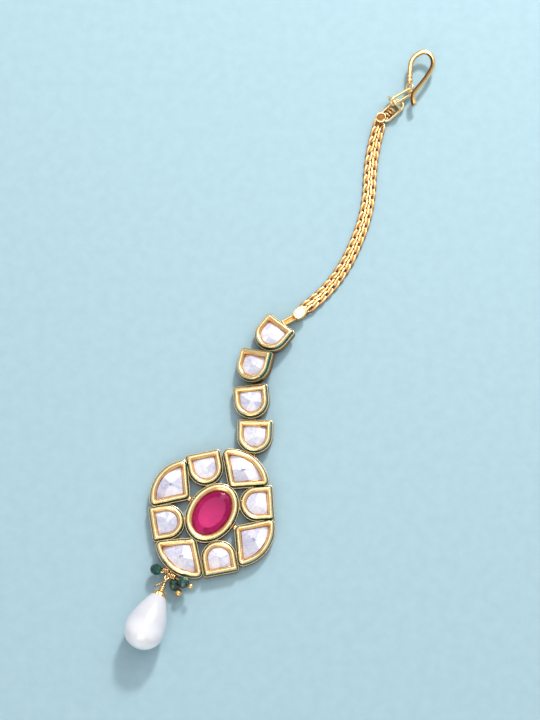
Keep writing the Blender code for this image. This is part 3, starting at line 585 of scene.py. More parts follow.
class Effects:
    """Shared shader effects, each a node group that is built once."""

    def __init__(self) -> None:
        """Build every group."""
        self.burnish = self._burnish()
        self.corner_shade = self._corner_shade()
        self.edge_wear = self._edge_wear()
        self.facet_light = self._facet_light()
        self.cloud = self._cloud()

    @staticmethod
    def _burnish() -> bpy.types.NodeTree:
        """Hand burnishing: soft dents, fine hairlines and patches of gloss."""
        b, given, out = new_group(
            "burnish", [("Dents", FLOAT, 1.0), ("Hairlines", FLOAT, 1.0), ("Scale", FLOAT, 520.0)],
            [("Height", FLOAT), ("Gloss", FLOAT)])
        where = b.place(given["Scale"])
        stretch = b.add("ShaderNodeMapping")
        stretch.inputs["Scale"].default_value = (7.0, 0.6, 7.0)
        stretch.inputs["Rotation"].default_value = (0.3, 0.2, 0.7)
        b.put(where, stretch.inputs["Vector"])
        lines = b.times(b.noise(stretch.outputs[0], 3.0, 3.0), b.times(given["Hairlines"], 0.12))
        dents = b.times(b.noise(where, 1.0, 0.5), given["Dents"])
        b.put(b.math("ADD", dents, lines), out["Height"])
        b.put(b.remap(b.noise(where, 2.3, 3.0), 0.35, 0.68), out["Gloss"])
        return b.tree

    @staticmethod
    def _corner_shade() -> bpy.types.NodeTree:
        """Painted shade: colour that deepens with the tone of the surface, broken up by a noise.
        """
        b, given, out = new_group(
            "corner_shade", [("Bright", COLOUR, (1, 1, 1, 1)), ("Deep", COLOUR, (0.3, 0.1, 0, 1)),
                        ("Strength", FLOAT, 1.0)],
            [("Color", COLOUR), ("Mask", FLOAT)])
        grain = b.math("SUBTRACT", b.noise(b.place(1.0), 2600.0, 2.0), 0.5)
        broken = b.math("ADD", b.attribute("tone"), b.times(grain, 0.35))
        mask = b.times(b.remap(broken, 0.05, 0.95), given["Strength"])
        b.put(mask, out["Mask"])
        b.put(b.mix(mask, given["Bright"], given["Deep"]), out["Color"])
        return b.tree

    @staticmethod
    def _edge_wear() -> bpy.types.NodeTree:
        """Mask of raised edges, where the plate wears bright."""
        b, given, out = new_group("edge wear", [("Amount", FLOAT, 1.0)], [("Mask", FLOAT)])
        shape = b.add("ShaderNodeNewGeometry")
        raised = b.remap(shape.outputs["Pointiness"], 0.52, 0.62)
        wear_and_highlight = b.remap(b.noise(b.place(1.0), 1800.0, 2.0), 0.35, 0.6, 0.2)
        b.put(b.times(b.times(raised, wear_and_highlight), given["Amount"]), out["Mask"])
        return b.tree

    @staticmethod
    def _facet_light() -> bpy.types.NodeTree:
        """Painted light and shade that steps from facet to facet, with soft clouds inside the
        stone.
        """
        b, given, out = new_group(
            "facet light", [("Light", COLOUR, (1, 1, 1, 1)), ("Dark", COLOUR, (0.5, 0.5, 0.6, 1)),
                            ("Contrast", FLOAT, 1.0), ("Cloud scale", FLOAT, 700.0)],
            [("Color", COLOUR), ("Mask", FLOAT)])
        clouds = b.remap(b.noise(b.place(given["Cloud scale"]), 1.0, 3.0, in_8=1.5), 0.38, 0.62)
        blend = b.math("ADD", b.times(b.attribute("facet"), 0.68), b.times(clouds, 0.32))
        mask = b.times(blend, given["Contrast"])
        b.put(mask, out["Mask"])
        b.put(b.mix(mask, given["Light"], given["Dark"]), out["Color"])
        return b.tree

    @staticmethod
    def _cloud() -> bpy.types.NodeTree:
        """A soft mask of large and small clouds."""
        b, given, out = new_group(
            "cloud", [("Scale", FLOAT, 100.0), ("Fine", FLOAT, 0.3)], [("Mask", FLOAT)])
        where = b.place(given["Scale"])
        small = b.math("SUBTRACT", b.noise(where, 9.0, 2.0), 0.5)
        large = b.remap(b.noise(where, 1.0, 3.0), 0.3, 0.7)
        b.put(b.math("ADD", large, b.times(small, given["Fine"])), out["Mask"])
        return b.tree


class MaterialBuilder(Builder):
    """Builds one material round its Principled shader."""

    def __init__(self, name: str) -> None:
        """Make the material."""
        self.material = bpy.data.materials.new(name)
        self.material.use_nodes = True
        super().__init__(self.material.node_tree)
        self.shader = self.tree.nodes["Principled BSDF"]

    def group(self, tree: bpy.types.NodeTree, **values: object) -> bpy.types.NodeOutputs:
        """Place a node group and set its inputs by name; gives its outputs."""
        node = self.add("ShaderNodeGroup", node_tree=tree)
        for name, value in values.items():
            node.inputs[name.replace("_", " ")].default_value = value
        return node.outputs

    def feed(self, **values: object) -> None:
        """Put values on the shader's inputs by name, underscores standing for spaces."""
        for name, value in values.items():
            self.put(value, self.shader.inputs[name.replace("_", " ")])

    def bump(self, height: bpy.types.NodeSocket, strength: float, distance: float) -> None:
        """Feed a height through a Bump node to the shader's normal."""
        node = self.add("ShaderNodeBump")
        for name, value in (("Strength", strength), ("Distance", distance), ("Height", height)):
            self.put(value, node.inputs[name])
        self.feed(Normal=node.outputs[0])


@dataclass(frozen=True)
class Finish:
    """A material of the ornament; each kind feeds its shader in its own way."""

    name: str = "finish"

    def paint(self, b: MaterialBuilder, effects: Effects) -> None:
        """Feed the shader."""
        raise NotImplementedError

    def material(self, effects: Effects) -> bpy.types.Material:
        """Build the material."""
        builder = MaterialBuilder(self.name)
        self.paint(builder, effects)
        return builder.material


@dataclass(frozen=True)
class GoldFinish(Finish):
    """Yellow gold plate: burnished edges, a painted highlight on crests, painted orange corner
    shade.
    """

    name: str = "gold plate"
    bright: tuple = (0.99, 0.69, 0.30, 1.0)
    # Orange colour of the painted shade in corners and recesses.
    deep_shade: tuple = (0.66, 0.25, 0.040, 1.0)
    # Pale colour of edge wear and of the painted highlight.
    wear_and_highlight_colour: tuple = (1.0, 0.82, 0.51, 1.0)
    # Strength of the painted highlight where the tone is low.
    wear_and_highlight: float = 0.60
    pits: float = 0.6
    # One dark colour for the painted shade of the facet number and for the real pits.
    pits_and_shade: tuple = (0.08, 0.032, 0.010, 1.0)
    roughness: float = 0.19
    rough_spread: float = 0.12
    bump: float = 0.40

    def paint(self, b: MaterialBuilder, effects: Effects) -> None:
        """Edge wear, a painted highlight, painted corner shade and pits; facet numbers give
        painted shade.
        """
        corner_shade = b.group(effects.corner_shade, Bright=self.bright, Deep=self.deep_shade, Strength=0.9)
        wear = b.group(effects.edge_wear, Amount=0.7)
        # Edge wear, and a painted highlight where the tone is low such as on a lip's crest, both
        # towards the pale colour.
        wear_and_highlight = b.math("MAXIMUM", wear["Mask"],
                        b.remap(corner_shade["Mask"], 0.0, 0.30, self.wear_and_highlight, 0.0))
        pits = b.remap(b.group(effects.cloud, Scale=1300.0, Fine=1.7)["Mask"], -0.06, 0.06,
                       self.pits, 0.0)
        metal = b.mix(wear_and_highlight, corner_shade["Color"], self.wear_and_highlight_colour)
        burnish = b.group(effects.burnish)
        rough = b.remap(burnish["Gloss"], 0.0, 1.0, self.roughness,
                        self.roughness + self.rough_spread)
        # The facet number paints shade and the pits are real; both darken towards one dark colour.
        b.feed(Base_Color=b.mix(b.math("MAXIMUM", b.attribute("facet"), pits), metal, self.pits_and_shade),
               Roughness=b.math("ADD", rough, b.times(corner_shade["Mask"], 0.12)), Metallic=1.0)
        b.bump(burnish["Height"], self.bump, 0.00008)


@dataclass(frozen=True)
class EnamelFinish(Finish):
    """Dark green enamel under gloss, lighter where it lies thin."""

    name: str = "green enamel"
    thick: tuple = (0.001, 0.034, 0.026, 1.0)
    thin: tuple = (0.002, 0.100, 0.078, 1.0)

    def paint(self, b: MaterialBuilder, effects: Effects) -> None:
        """Clouds of thick and thin enamel."""
        cloud = b.group(effects.cloud, Scale=900.0, Fine=0.4)["Mask"]
        b.feed(Base_Color=b.mix(cloud, self.thick, self.thin),
               Roughness=b.remap(cloud, 0.0, 1.0, 0.16, 0.30),
               Coat_Weight=0.25, Coat_Roughness=0.05)
        b.bump(cloud, 0.25, 0.00004)


@dataclass(frozen=True)
class PolkiFinish(Finish):
    """Milky foil-backed stone, lavender in its shaded facets, with a mark at its apex."""

    name: str = "polki stone"
    light: tuple = (0.75, 0.76, 0.81, 1.0)
    dark: tuple = (0.34, 0.345, 0.50, 1.0)
    blush: tuple = (0.80, 0.68, 0.73, 1.0)
    flaw: tuple = (0.30, 0.30, 0.42, 1.0)
    mark: tuple = (0.12, 0.12, 0.22, 1.0)

    def paint(self, b: MaterialBuilder, effects: Effects) -> None:
        """Facet shades, a blush, small flaws and, where the tone is high, the mark."""
        facets = b.group(effects.facet_light, Light=self.light, Dark=self.dark, Contrast=0.95,
                         Cloud_scale=620.0)
        blush = b.group(effects.cloud, Scale=330.0, Fine=0.2)["Mask"]
        flaws = b.group(effects.cloud, Scale=1700.0, Fine=1.4)["Mask"]
        tinted = b.mix(b.remap(blush, 0.55, 1.0, 0.0, 0.40), facets["Color"], self.blush)
        flawed = b.mix(b.remap(flaws, 0.0, 0.12, 0.55, 0.0), tinted, self.flaw)
        spot = b.times(b.remap(b.attribute("tone"), 0.2, 0.8),
                       b.remap(flaws, 0.35, 0.75, 1.0, 0.0))
        b.feed(Base_Color=b.mix(spot, flawed, self.mark),
               Roughness=b.remap(facets["Mask"], 0.0, 1.0, 0.08, 0.20),
               IOR=1.60, Coat_Weight=0.5, Coat_Roughness=0.03)
        b.bump(facets["Mask"], 0.30, 0.00010)


@dataclass(frozen=True)
class RubyFinish(Finish):
    """Cut red stone, with painted shade at the rim and painted pink light towards one side."""

    name: str = "ruby"
    body: tuple = (0.28, 0.005, 0.075, 1.0)
    # Colour of the painted pink light.
    painted_glow: tuple = (0.52, 0.018, 0.140, 1.0)
    shade: tuple = (0.12, 0.002, 0.030, 1.0)
    painted_glow_place: tuple = (-1.6, -2.6, 2.5)

    def paint(self, b: MaterialBuilder, effects: Effects) -> None:
        """The painted pink light fades with distance from its place, the painted shade follows the
        tone.
        """
        offset = b.add("ShaderNodeVectorMath", operation="DISTANCE", in_1=self.painted_glow_place)
        b.put(b.place(1.0 / MM), offset.inputs[0])
        near = b.remap(offset.outputs["Value"], 1.0, 6.5, 1.0, 0.0)
        facets = b.group(effects.facet_light, Light=(1, 1, 1, 1), Dark=(0, 0, 0, 1),
                         Contrast=0.9, Cloud_scale=420.0)["Mask"]
        # Painted light: pink towards one place, stepped by painted facet shades; painted shade on
        # the rim.
        colour = b.mix(b.times(near, b.remap(facets, 0.0, 1.0, 1.1, 0.5)), self.body, self.painted_glow)
        rim = b.times(b.attribute("tone"), b.remap(facets, 0.0, 1.0, 0.25))
        b.feed(Base_Color=b.mix(rim, colour, self.shade),
               Roughness=b.remap(facets, 0.0, 1.0, 0.07, 0.16),
               IOR=1.50, Specular_IOR_Level=0.15, Coat_Weight=0.05, Coat_Roughness=0.03)


@dataclass(frozen=True)
class BeadFinish(Finish):
    """Dark green cut bead with lighter teal facets of painted light."""

    name: str = "green bead"
    light: tuple = (0.005, 0.170, 0.125, 1.0)
    dark: tuple = (0.0004, 0.005, 0.005, 1.0)

    def paint(self, b: MaterialBuilder, effects: Effects) -> None:
        """Painted facet light and shade under gloss."""
        facets = b.group(effects.facet_light, Light=self.light, Dark=self.dark, Contrast=1.45,
                         Cloud_scale=700.0)
        b.feed(Base_Color=facets["Color"], Roughness=b.remap(facets["Mask"], 0.0, 1.0, 0.04, 0.10),
               Specular_IOR_Level=0.55, Coat_Weight=0.4, Coat_Roughness=0.03)


@dataclass(frozen=True)
class PearlFinish(Finish):
    """White pearl, painted paler towards its lower end, with faint lavender clouds and a pink
    bloom.
    """

    name: str = "pearl"
    white: tuple = (0.54, 0.545, 0.595, 1.0)
    pale: tuple = (0.88, 0.88, 0.92, 1.0)
    lavender: tuple = (0.53, 0.53, 0.62, 1.0)
    bloom: tuple = (0.60, 0.56, 0.59, 1.0)

    def paint(self, b: MaterialBuilder, effects: Effects) -> None:
        """The base follows the tone as painted light; two sets of clouds carry the lavender and
        the bloom.
        """
        broad = b.group(effects.cloud, Scale=110.0, Fine=0.05)["Mask"]
        bloom = b.group(effects.cloud, Scale=160.0, Fine=0.1)["Mask"]
        # Painted light: the tone pales the pearl's lower end.
        body = b.mix(b.attribute("tone"), self.white, self.pale)
        soft = b.mix(b.remap(broad, 0.4, 1.1, 0.0, 0.8), body, self.lavender)
        b.feed(Base_Color=b.mix(b.remap(bloom, 0.6, 1.1, 0.0, 0.5), soft, self.bloom),
               Roughness=b.remap(bloom, 0.0, 1.0, 0.16, 0.26), Subsurface_Weight=0.25,
               Subsurface_Radius=(0.0018, 0.0015, 0.0014), Coat_Weight=0.7, Coat_Roughness=0.17)
        b.bump(bloom, 0.10, 0.00005)


@dataclass(frozen=True)
class FloorFinish(Finish):
    """Pale floor with a fine grain."""

    name: str = "pale floor"
    light: tuple = (0.300, 0.446, 0.510, 1.0)
    dark: tuple = (0.279, 0.418, 0.480, 1.0)

    def paint(self, b: MaterialBuilder, effects: Effects) -> None:
        """Two shades in fine clouds."""
        grain = b.group(effects.cloud, Scale=420.0, Fine=1.2)["Mask"]
        b.feed(Base_Color=b.mix(grain, self.light, self.dark), Roughness=0.75)
        b.bump(grain, 0.08, 0.0001)


@dataclass
class Finishes:
    """Every material of the ornament, built from its finish."""

    gold: bpy.types.Material
    wire_gold: bpy.types.Material
    chain_gold: bpy.types.Material
    enamel: bpy.types.Material
    polki: bpy.types.Material
    ruby: bpy.types.Material
    bead: bpy.types.Material
    pearl: bpy.types.Material
    floor: bpy.types.Material

    @classmethod
    def build(cls) -> "Finishes":
        """Build the effects once and the materials from them, in the order of the fields."""
        effects = Effects()
        kinds = (
            GoldFinish(),
            GoldFinish("wire gold", (0.95, 0.62, 0.24, 1.0), roughness=0.17, bump=0.03),
            GoldFinish("chain gold", (0.85, 0.49, 0.19, 1.0), (0.40, 0.14, 0.03, 1.0),
                       wear_and_highlight=0.12, roughness=0.22),
            EnamelFinish(), PolkiFinish(), RubyFinish(), BeadFinish(), PearlFinish(),
            FloorFinish(),
        )
        return cls(*(kind.material(effects) for kind in kinds))


# Outlines of the settings


def arc(centre: tuple, radius: float, start: float, end: float, count: int) -> np.ndarray:
    """Points centre + radius (cos, sin) at equal angles from start to end."""
    angle = np.linspace(start, end, count)
    return np.stack([centre[0] + radius * np.cos(angle), centre[1] + radius * np.sin(angle)],
                    axis=-1)


def run(start: Sequence[float], end: Sequence[float], shares: np.ndarray) -> np.ndarray:
    """Points on the straight line from start to end at the given shares."""
    first, last = np.array(start), np.array(end)
    return first + shares[:, None] * (last - first)


class Outline:
    """Closed flat outline that can be grown by a distance, point for point."""

    first_arc: int = 0

    def points(self, grow: float) -> np.ndarray:
        """The outline grown by a distance, shaped (n, 2)."""
        raise NotImplementedError

    def hinged_side(self) -> tuple:
        """Shares along the side with the hinge notch, and 1 for those in the notch."""
        raise NotImplementedError

    def notch(self) -> np.ndarray:
        """Share of the hinge notch at each point; its side follows the first arc."""
        shares, inside = self.hinged_side()
        flags = np.zeros(len(self.points(0.0)))
        flags[self.first_arc:self.first_arc + len(shares)] = inside
        return flags


def notched_shares(middle: float, half: float, slit: float, outer: int, inner: int) -> tuple:
    """Shares along a side with close pairs at the notch's two corners.

    Args:
        middle: share at which the notch has its middle.
        half: half the notch's width, as a share of the side.
        slit: how far a corner's two points lie from it.
        outer: points on each side of the notch.
        inner: points inside the notch.

    Returns:
        The shares from 0 to 1 without both ends, and 1 for those in the notch.
    """
    low, high = middle - half, middle + half
    parts = (np.linspace(0.02, low - slit, outer), np.linspace(low + slit, high - slit, inner),
             np.linspace(high + slit, 0.98, outer))
    return np.concatenate(parts), np.repeat([0.0, 1.0, 0.0], [outer, inner, outer])


@dataclass
class DOutline(Outline):
    """Half-round shape whose flat side faces +X."""

    width: float = 7.20
    depth: float = 6.90
    corner: float = 0.30
    least: float = 0.12
    notch_width: float = 3.60
    first_arc: int = 7

    def points(self, grow: float) -> np.ndarray:
        """Corner arc, flat side, corner arc, straight, half circle and straight."""
        half = self.width / 2 + grow
        flat = self.depth / 2 + grow
        middle = (self.width - self.depth) / 2
        bend = max(self.corner + grow, self.least)
        shares, _ = self.hinged_side()
        sides = np.linspace(0, 1, 8)[1:-1]
        return np.vstack([
            arc((flat - bend, bend - half), bend, -QUARTER, 0, self.first_arc),
            run((flat, bend - half), (flat, half - bend), shares),
            arc((flat - bend, half - bend), bend, 0, QUARTER, 7),
            run((flat - bend, half), (middle, half), sides),
            arc((middle, 0), half, QUARTER, 3 * QUARTER, 61),
            run((middle, -half), (flat - bend, -half), sides),
        ])

    def hinged_side(self) -> tuple:
        """The notch lies in the middle of the flat side."""
        length = self.width - 2 * self.corner
        return notched_shares(0.5, min(self.notch_width / length, 0.96) / 2, 0.02 / length, 4, 13)


@dataclass
class FanOutline(Outline):
    """Quarter-round shape with its corner at the origin and its arc towards +X."""

    radius: float = 8.40
    half_angle: float = math.radians(48.5)
    apex_round: float = 1.00
    end_round: float = 0.95
    least: float = 0.12
    notch_width: float = 3.60
    notch_turn: float = math.radians(1.0)
    first_arc: int = 12

    def points(self, grow: float) -> np.ndarray:
        """End arc, main arc, end arc, straight, apex arc and straight."""
        radius = self.radius + grow
        slope = self.half_angle
        apex_bend = max(self.apex_round + grow, self.least)
        end_bend = max(self.end_round + grow, self.least)
        side = grow - end_bend
        swing = slope + math.atan2(side, math.sqrt((radius - end_bend) ** 2 - side ** 2))
        reach = radius - end_bend
        low = (reach * math.cos(swing), -reach * math.sin(swing))
        high = (low[0], -low[1])
        apex = ((apex_bend - grow) / math.sin(slope), 0.0)
        first = arc(low, end_bend, -slope - QUARTER, -swing, self.first_arc)
        last = arc(high, end_bend, swing, slope + QUARTER, self.first_arc)
        tip = arc(apex, apex_bend, slope + QUARTER, 3 * QUARTER - slope, 13)
        shares, _ = self.hinged_side()
        angle = -swing + 2 * swing * shares
        wide = np.stack([radius * np.cos(angle), radius * np.sin(angle)], axis=-1)
        sides = np.linspace(0, 1, 18)[1:-1]
        return np.vstack([first, wide, last, run(last[-1], tip[0], sides), tip,
                          run(tip[-1], first[0], sides)])

    def hinged_side(self) -> tuple:
        """The notch lies near the middle of the main arc."""
        swing = 2 * (self.half_angle - self.end_round / self.radius)
        half = math.asin(self.notch_width / 2 / self.radius)
        return notched_shares(0.5 + self.notch_turn / swing, half / swing, 0.001, 18, 15)


@dataclass
class OvalOutline(Outline):
    """Ellipse grown along its normals, long side along X."""

    length: float = 13.50
    width: float = 10.20
    count: int = 144

    def points(self, grow: float) -> np.ndarray:
        """Half axes times (cos, sin) plus grow times the unit normal (cos/a, sin/b)."""
        angle = np.arange(self.count) * math.tau / self.count
        spoke = np.stack([np.cos(angle), np.sin(angle)], axis=-1)
        halves = np.array([self.length, self.width]) / 2
        return spoke * halves + unit(spoke / halves) * grow


# Settings and stones


@dataclass
class Collet:
    """A kundan setting: flat back, ribbed wall, enamel line, rounded lip and inner slope."""

    outline: Outline
    rim: float = 1.15
    rise: float = 0.0
    seed: int = 1
    notched: bool = False
    wall_out: float = 0.36
    ledge_width: float = 0.12
    ledge_height: float = 1.95
    enamel_sink: float = 0.14
    enamel_top: float = 2.60
    enamel_in: float = 0.06
    lip_height: float = 2.95
    lip_crest: float = 0.46
    window_height: float = 2.32
    seat_height: float = 1.55
    back_round: float = 0.30
    notch_depth: float = 1.15
    notch_height: float = 1.60
    rib_depth: float = 0.022
    rib_pitch: float = 0.42
    lip_swell: float = 0.034
    lip_lean: float = 0.030
    # Most painted shade, at the foot of the wall.
    most_shade: float = 0.92

    def pits_and_shade(self, heights: np.ndarray) -> np.ndarray:
        """Share of painted shade at each height: most at the foot, none from the ledge up."""
        return self.most_shade * np.clip(1 - heights / self.ledge_height, 0, 1) ** 0.45

    def rows(self) -> tuple:
        """The section from the back, up the wall, over the lip and down to the seat.

        Returns:
            Offset, height, tone and finish number (1 for enamel) of each row.
        """
        quarter = np.linspace(0, QUARTER, 5)
        foot = np.stack([self.wall_out - self.back_round * (1 - np.sin(quarter)),
                         self.back_round * (1 - np.cos(quarter))], axis=-1)
        climb = np.linspace(self.back_round + 0.05, self.ledge_height - 0.08, 24)
        climb = np.sort(np.append(climb, [self.notch_height - 0.01, self.notch_height + 0.01]))
        ribs = self.wall_out - self.rib_depth * (
            0.5 - 0.5 * np.cos(climb * math.tau / self.rib_pitch))
        wall = np.stack([ribs, climb], axis=-1)
        ledge_in = self.wall_out - self.ledge_width
        ledge = np.array([[self.wall_out - 0.03, self.ledge_height - 0.01],
                          [self.wall_out - 0.07, self.ledge_height + 0.01],
                          [ledge_in, self.ledge_height]])
        turn = np.linspace(0, QUARTER, 6)
        sunk = self.ledge_height - self.enamel_sink
        enamel = np.stack([(ledge_in + self.enamel_in) * np.cos(turn) - self.enamel_in,
                           sunk + (self.enamel_top - sunk) * (turn / QUARTER) ** 1.2], axis=-1)
        over = np.linspace(0.12, QUARTER, 8)
        crest_in, crest_up = self.lip_crest - self.enamel_in, self.lip_height - self.enamel_top
        lip = np.stack([-self.enamel_in - crest_in * (1 - np.cos(over)),
                        self.enamel_top + crest_up * np.sin(over)], axis=-1)
        fall = np.linspace(0, 1, 11)[1:]
        drop = self.lip_height - self.window_height - self.rise
        slope = np.stack([-self.lip_crest - (self.rim - self.lip_crest) * fall,
                          self.lip_height - drop * fall ** 2.1], axis=-1)
        inner = np.array([[-self.rim - 0.01, self.window_height - self.rise - 0.12],
                          [-self.rim - 0.01, self.seat_height - self.rise]])
        table = np.vstack([foot, wall, ledge, enamel, lip, slope, inner])
        # Tone paints light and shade: high at the foot and in the rib grooves for painted shade,
        # lower up the wall, 0 on the lip's crest for a painted highlight, and rising down the
        # inner slope for painted shade.
        grooves = 0.4 * (self.wall_out - ribs) / self.rib_depth
        tone = np.concatenate([
            np.full(len(foot), 1.0), 0.95 - 0.30 * climb + grooves, [0.15, 0.1, 0.5],
            np.full(len(enamel), 0.4), np.linspace(0.12, 0.0, len(lip)),
            0.14 + 0.66 * fall ** 2.4, [1.0, 1.0]])
        heights = table[:, 1] + np.where(table[:, 1] > self.back_round, self.rise, 0.0)
        slots = np.zeros(len(table) - 1, dtype=int)
        first = len(foot) + len(wall) + len(ledge)
        slots[first:first + len(enamel) - 1] = 1
        return table[:, 0], heights, tone, slots

    def surface(self) -> Surface:
        """The setting's grid: the outline grown by each row's offset at the row's height.

        Small swells of offset and height run round the lip, as from hand burnishing, and
        the notch pulls the wall inwards below its height.
        """
        offsets, heights, tone, slots = self.rows()
        flat = np.stack([self.outline.points(offset) for offset in offsets])
        count = flat.shape[1]
        touched = np.clip((heights - self.enamel_top) / 0.3, 0, 1)[:, None]
        swell = wander(count, self.seed)[None] * touched
        lean = wander(count, self.seed + 90, 5)[None] * touched
        outward = unit(flat - flat.mean(axis=1, keepdims=True))
        flat = flat + outward * (self.lip_swell * swell)[..., None]
        height = heights[:, None] + self.lip_lean * lean
        if self.notched:
            low = (heights < self.notch_height)[:, None] * self.outline.notch()[None]
            flat = flat - np.array([1.0, 0.0]) * (self.notch_depth * low)[..., None]
        grid = np.dstack([flat, height])
        # The painted light and shade of the tone follow the lip's swells.
        tones = np.clip(tone[:, None] + 0.14 * swell, 0, 1)
        return skin(grid, tone=tones, facet=self.pits_and_shade(heights)[:, None], row_slots=slots)


def stone_skin(edge: np.ndarray, foot: float, girdle: np.ndarray, crown: np.ndarray,
               facet: np.ndarray, tone: np.ndarray, side: tuple) -> Surface:
    """Cover a stone: two rows of wall below the rows of its crown.

    Args:
        edge: flat outline of the stone.
        foot: height of the wall's foot.
        girdle: height of the wall's top at each point.
        crown: points of the crown.
        facet: facet number of each crown point.
        tone: tone of each crown point.
        side: facet number and tone of the wall.

    Returns:
        The closed stone.
    """
    wall = np.stack([np.column_stack([edge, np.full(len(edge), foot)]),
                     np.column_stack([edge, girdle])])
    facets, tones = (np.vstack([np.full((2, len(edge)), value), rows])
                     for value, rows in zip(side, (facet, tone)))
    return skin(np.concatenate([wall, crown]), facet=facets, tone=tones)


@dataclass
class CutStone:
    """A stone whose crown is the lowest of a set of tilted planes over its outline."""

    outline: Outline
    rim: float = 1.15
    gap: float = 0.06
    foot: float = 1.70
    girdle: float = 2.17
    table: float = 2.72
    peak: tuple = (0.0, 0.0)
    planes: int = 11
    steep: float = 0.55
    spread: float = 0.62
    mark: tuple = (0.28, 0.20)
    mark_strength: float = 0.6
    seed: int = 1
    rings: int = 30

    def crown(self, x: np.ndarray, y: np.ndarray) -> tuple:
        """Height and facet number of the crown at flat points.

        Plane k falls away from the peak in its own direction: height = table -
        steepness_k max(0, distance along the direction - start_k).  The crown is the
        lowest plane, and its number is scattered to a shade.
        """
        dice = np.random.default_rng(self.seed)
        turn = math.tau * (np.arange(self.planes) + dice.uniform(-0.3, 0.3, self.planes))
        turn = turn / self.planes
        slopes = self.steep * (0.55 + 0.45 * dice.uniform(0, 1, self.planes)) * self.spread
        starts = dice.uniform(0.10, 0.55, self.planes)
        dx, dy = x - self.peak[0], y - self.peak[1]
        reach = dx[..., None] * np.cos(turn) + dy[..., None] * np.sin(turn) - starts
        heights = self.table - slopes * np.maximum(reach, 0)
        number = np.argmin(heights, axis=-1)
        # Each plane gets a random painted shade for its facet.
        shades = dice.uniform(0, 1, self.planes)
        flat_top = reach.max(axis=-1) <= 0
        return heights.min(axis=-1), np.where(flat_top, 0.25, shades[number])

    def surface(self) -> Surface:
        """Rings of the outline shrink towards the peak and lie on the crown."""
        edge = self.outline.points(-self.rim - self.gap)
        share = np.linspace(0, 1, self.rings)[:, None, None] ** 0.9
        flat = edge[None] + (np.array(self.peak) - edge)[None] * share * 0.995
        heights, facet = self.crown(flat[..., 0], flat[..., 1])
        away = np.linalg.norm((flat - np.array(self.peak)) / np.array(self.mark), axis=-1)
        return stone_skin(edge, self.foot, np.minimum(self.girdle, heights[0] - 0.02),
                          np.dstack([flat, heights]), facet,
                          self.mark_strength * np.exp(-away ** 2), (0.8, 0.0))


def set_polki(name: str, stone: CutStone, place: Place, finishes: Finishes) -> None:
    """Put a polki stone into its setting."""
    dress("stone_" + name, "kundan_stone", "polki_" + name, stone.surface().placed(place),
          [finishes.polki], 4.0)


@dataclass
class OvalCut:
    """Oval stone with a girdle, two rings of crown facets and a large table."""

    outline: OvalOutline
    rim: float = 1.38
    gap: float = 0.06
    foot: float = 1.70
    girdle: float = 2.20
    table: float = 2.86
    table_share: float = 0.70
    mains: int = 16

    def surface(self) -> Surface:
        """Crown height = lowest of the table, the main facets and the girdle facets.

        With a = share of the way from the middle to the edge, measured along each
        facet's own direction, the mains fall from the table's edge and the girdle facets,
        turned by half a facet, fall faster near the rim.
        """
        edge = self.outline.points(-self.rim - self.gap)
        halves = np.abs(edge).max(axis=0)
        share = np.linspace(0, 1, 40)[:, None, None]
        flat = edge[None] * (1 - share * 0.995)
        stretched = flat / halves
        turn = math.tau * np.arange(self.mains) / self.mains
        drop = self.table - self.girdle
        fall = 1 - self.table_share
        main, brink = (stretched @ np.stack([np.cos(t), np.sin(t)])
                       for t in (turn, turn + math.pi / self.mains))
        main_height = self.table - 0.62 * drop * (main - self.table_share) / fall
        brink_height = self.table - drop * (0.42 + 1.2 * (brink - 0.90) / fall)
        heights = np.concatenate([main_height, brink_height], axis=-1)
        number = np.argmin(heights, axis=-1)
        height = np.minimum(heights.min(axis=-1), self.table)
        on_table = heights.min(axis=-1) >= self.table
        # Painted light and shade: each facet gets a random shade, and the tone, low on the table,
        # rises towards its edge and onto the facets and the side for the painted dark rim.
        shades = np.random.default_rng(5).uniform(0, 1, 2 * self.mains)
        facet = np.where(on_table, 0.30, shades[number])
        radius = np.linalg.norm(stretched, axis=-1)
        tone = np.where(on_table, 0.10 + 0.25 * radius ** 4, 0.75)
        return stone_skin(edge, self.foot, height[0] - 0.03, np.dstack([flat, height]), facet,
                          tone, (0.9, 1.0))


@dataclass
class Hinge:
    """A rod across a notch, with a loop of wire round it."""

    depth: float = 0.40
    height: float = 0.75
    rod_radius: float = 0.15
    rod_width: float = 4.10
    loop_radius: float = 0.43
    wire: float = 0.15

    def rod(self, place: Place, reach: float) -> Surface:
        """The rod of the setting whose wall stands at reach."""
        half = self.rod_width / 2
        ends = place.apply(np.array([[reach - self.depth, -half, self.height],
                                     [reach - self.depth, half, self.height]]))
        return rod(ends[0], ends[1], self.rod_radius)

    def point(self, place: Place, reach: float) -> tuple:
        """Middle of the rod and the level way out of the notch."""
        middle = place.apply(np.array([reach - self.depth, 0.0, self.height]))
        outward = place.turn @ np.array([1.0, 0.0, 0.0])
        return middle, unit(outward * np.array([1.0, 1.0, 0.0]))

    def loop(self, middle: np.ndarray, outward: np.ndarray, anchor: np.ndarray) -> list:
        """The loop round the rod and the stem that runs on to the anchor."""
        ring = round_ring(middle, outward, UP, self.loop_radius, self.wire, 40)
        return [ring, rod(middle + outward * self.loop_radius, anchor, self.wire * 1.15)]


@dataclass(frozen=True)
class Seat:
    """Where one setting of the pendant stands, and how far out its solder ball lies."""

    name: str
    direction: float
    distance: float
    turn: float
    ball_reach: float

    def place(self) -> Place:
        """At its distance from the middle, turned a little further than its direction."""
        x, y, _ = self.distance * bearing(self.direction)
        return Place.flat(x, y, self.direction + self.turn)


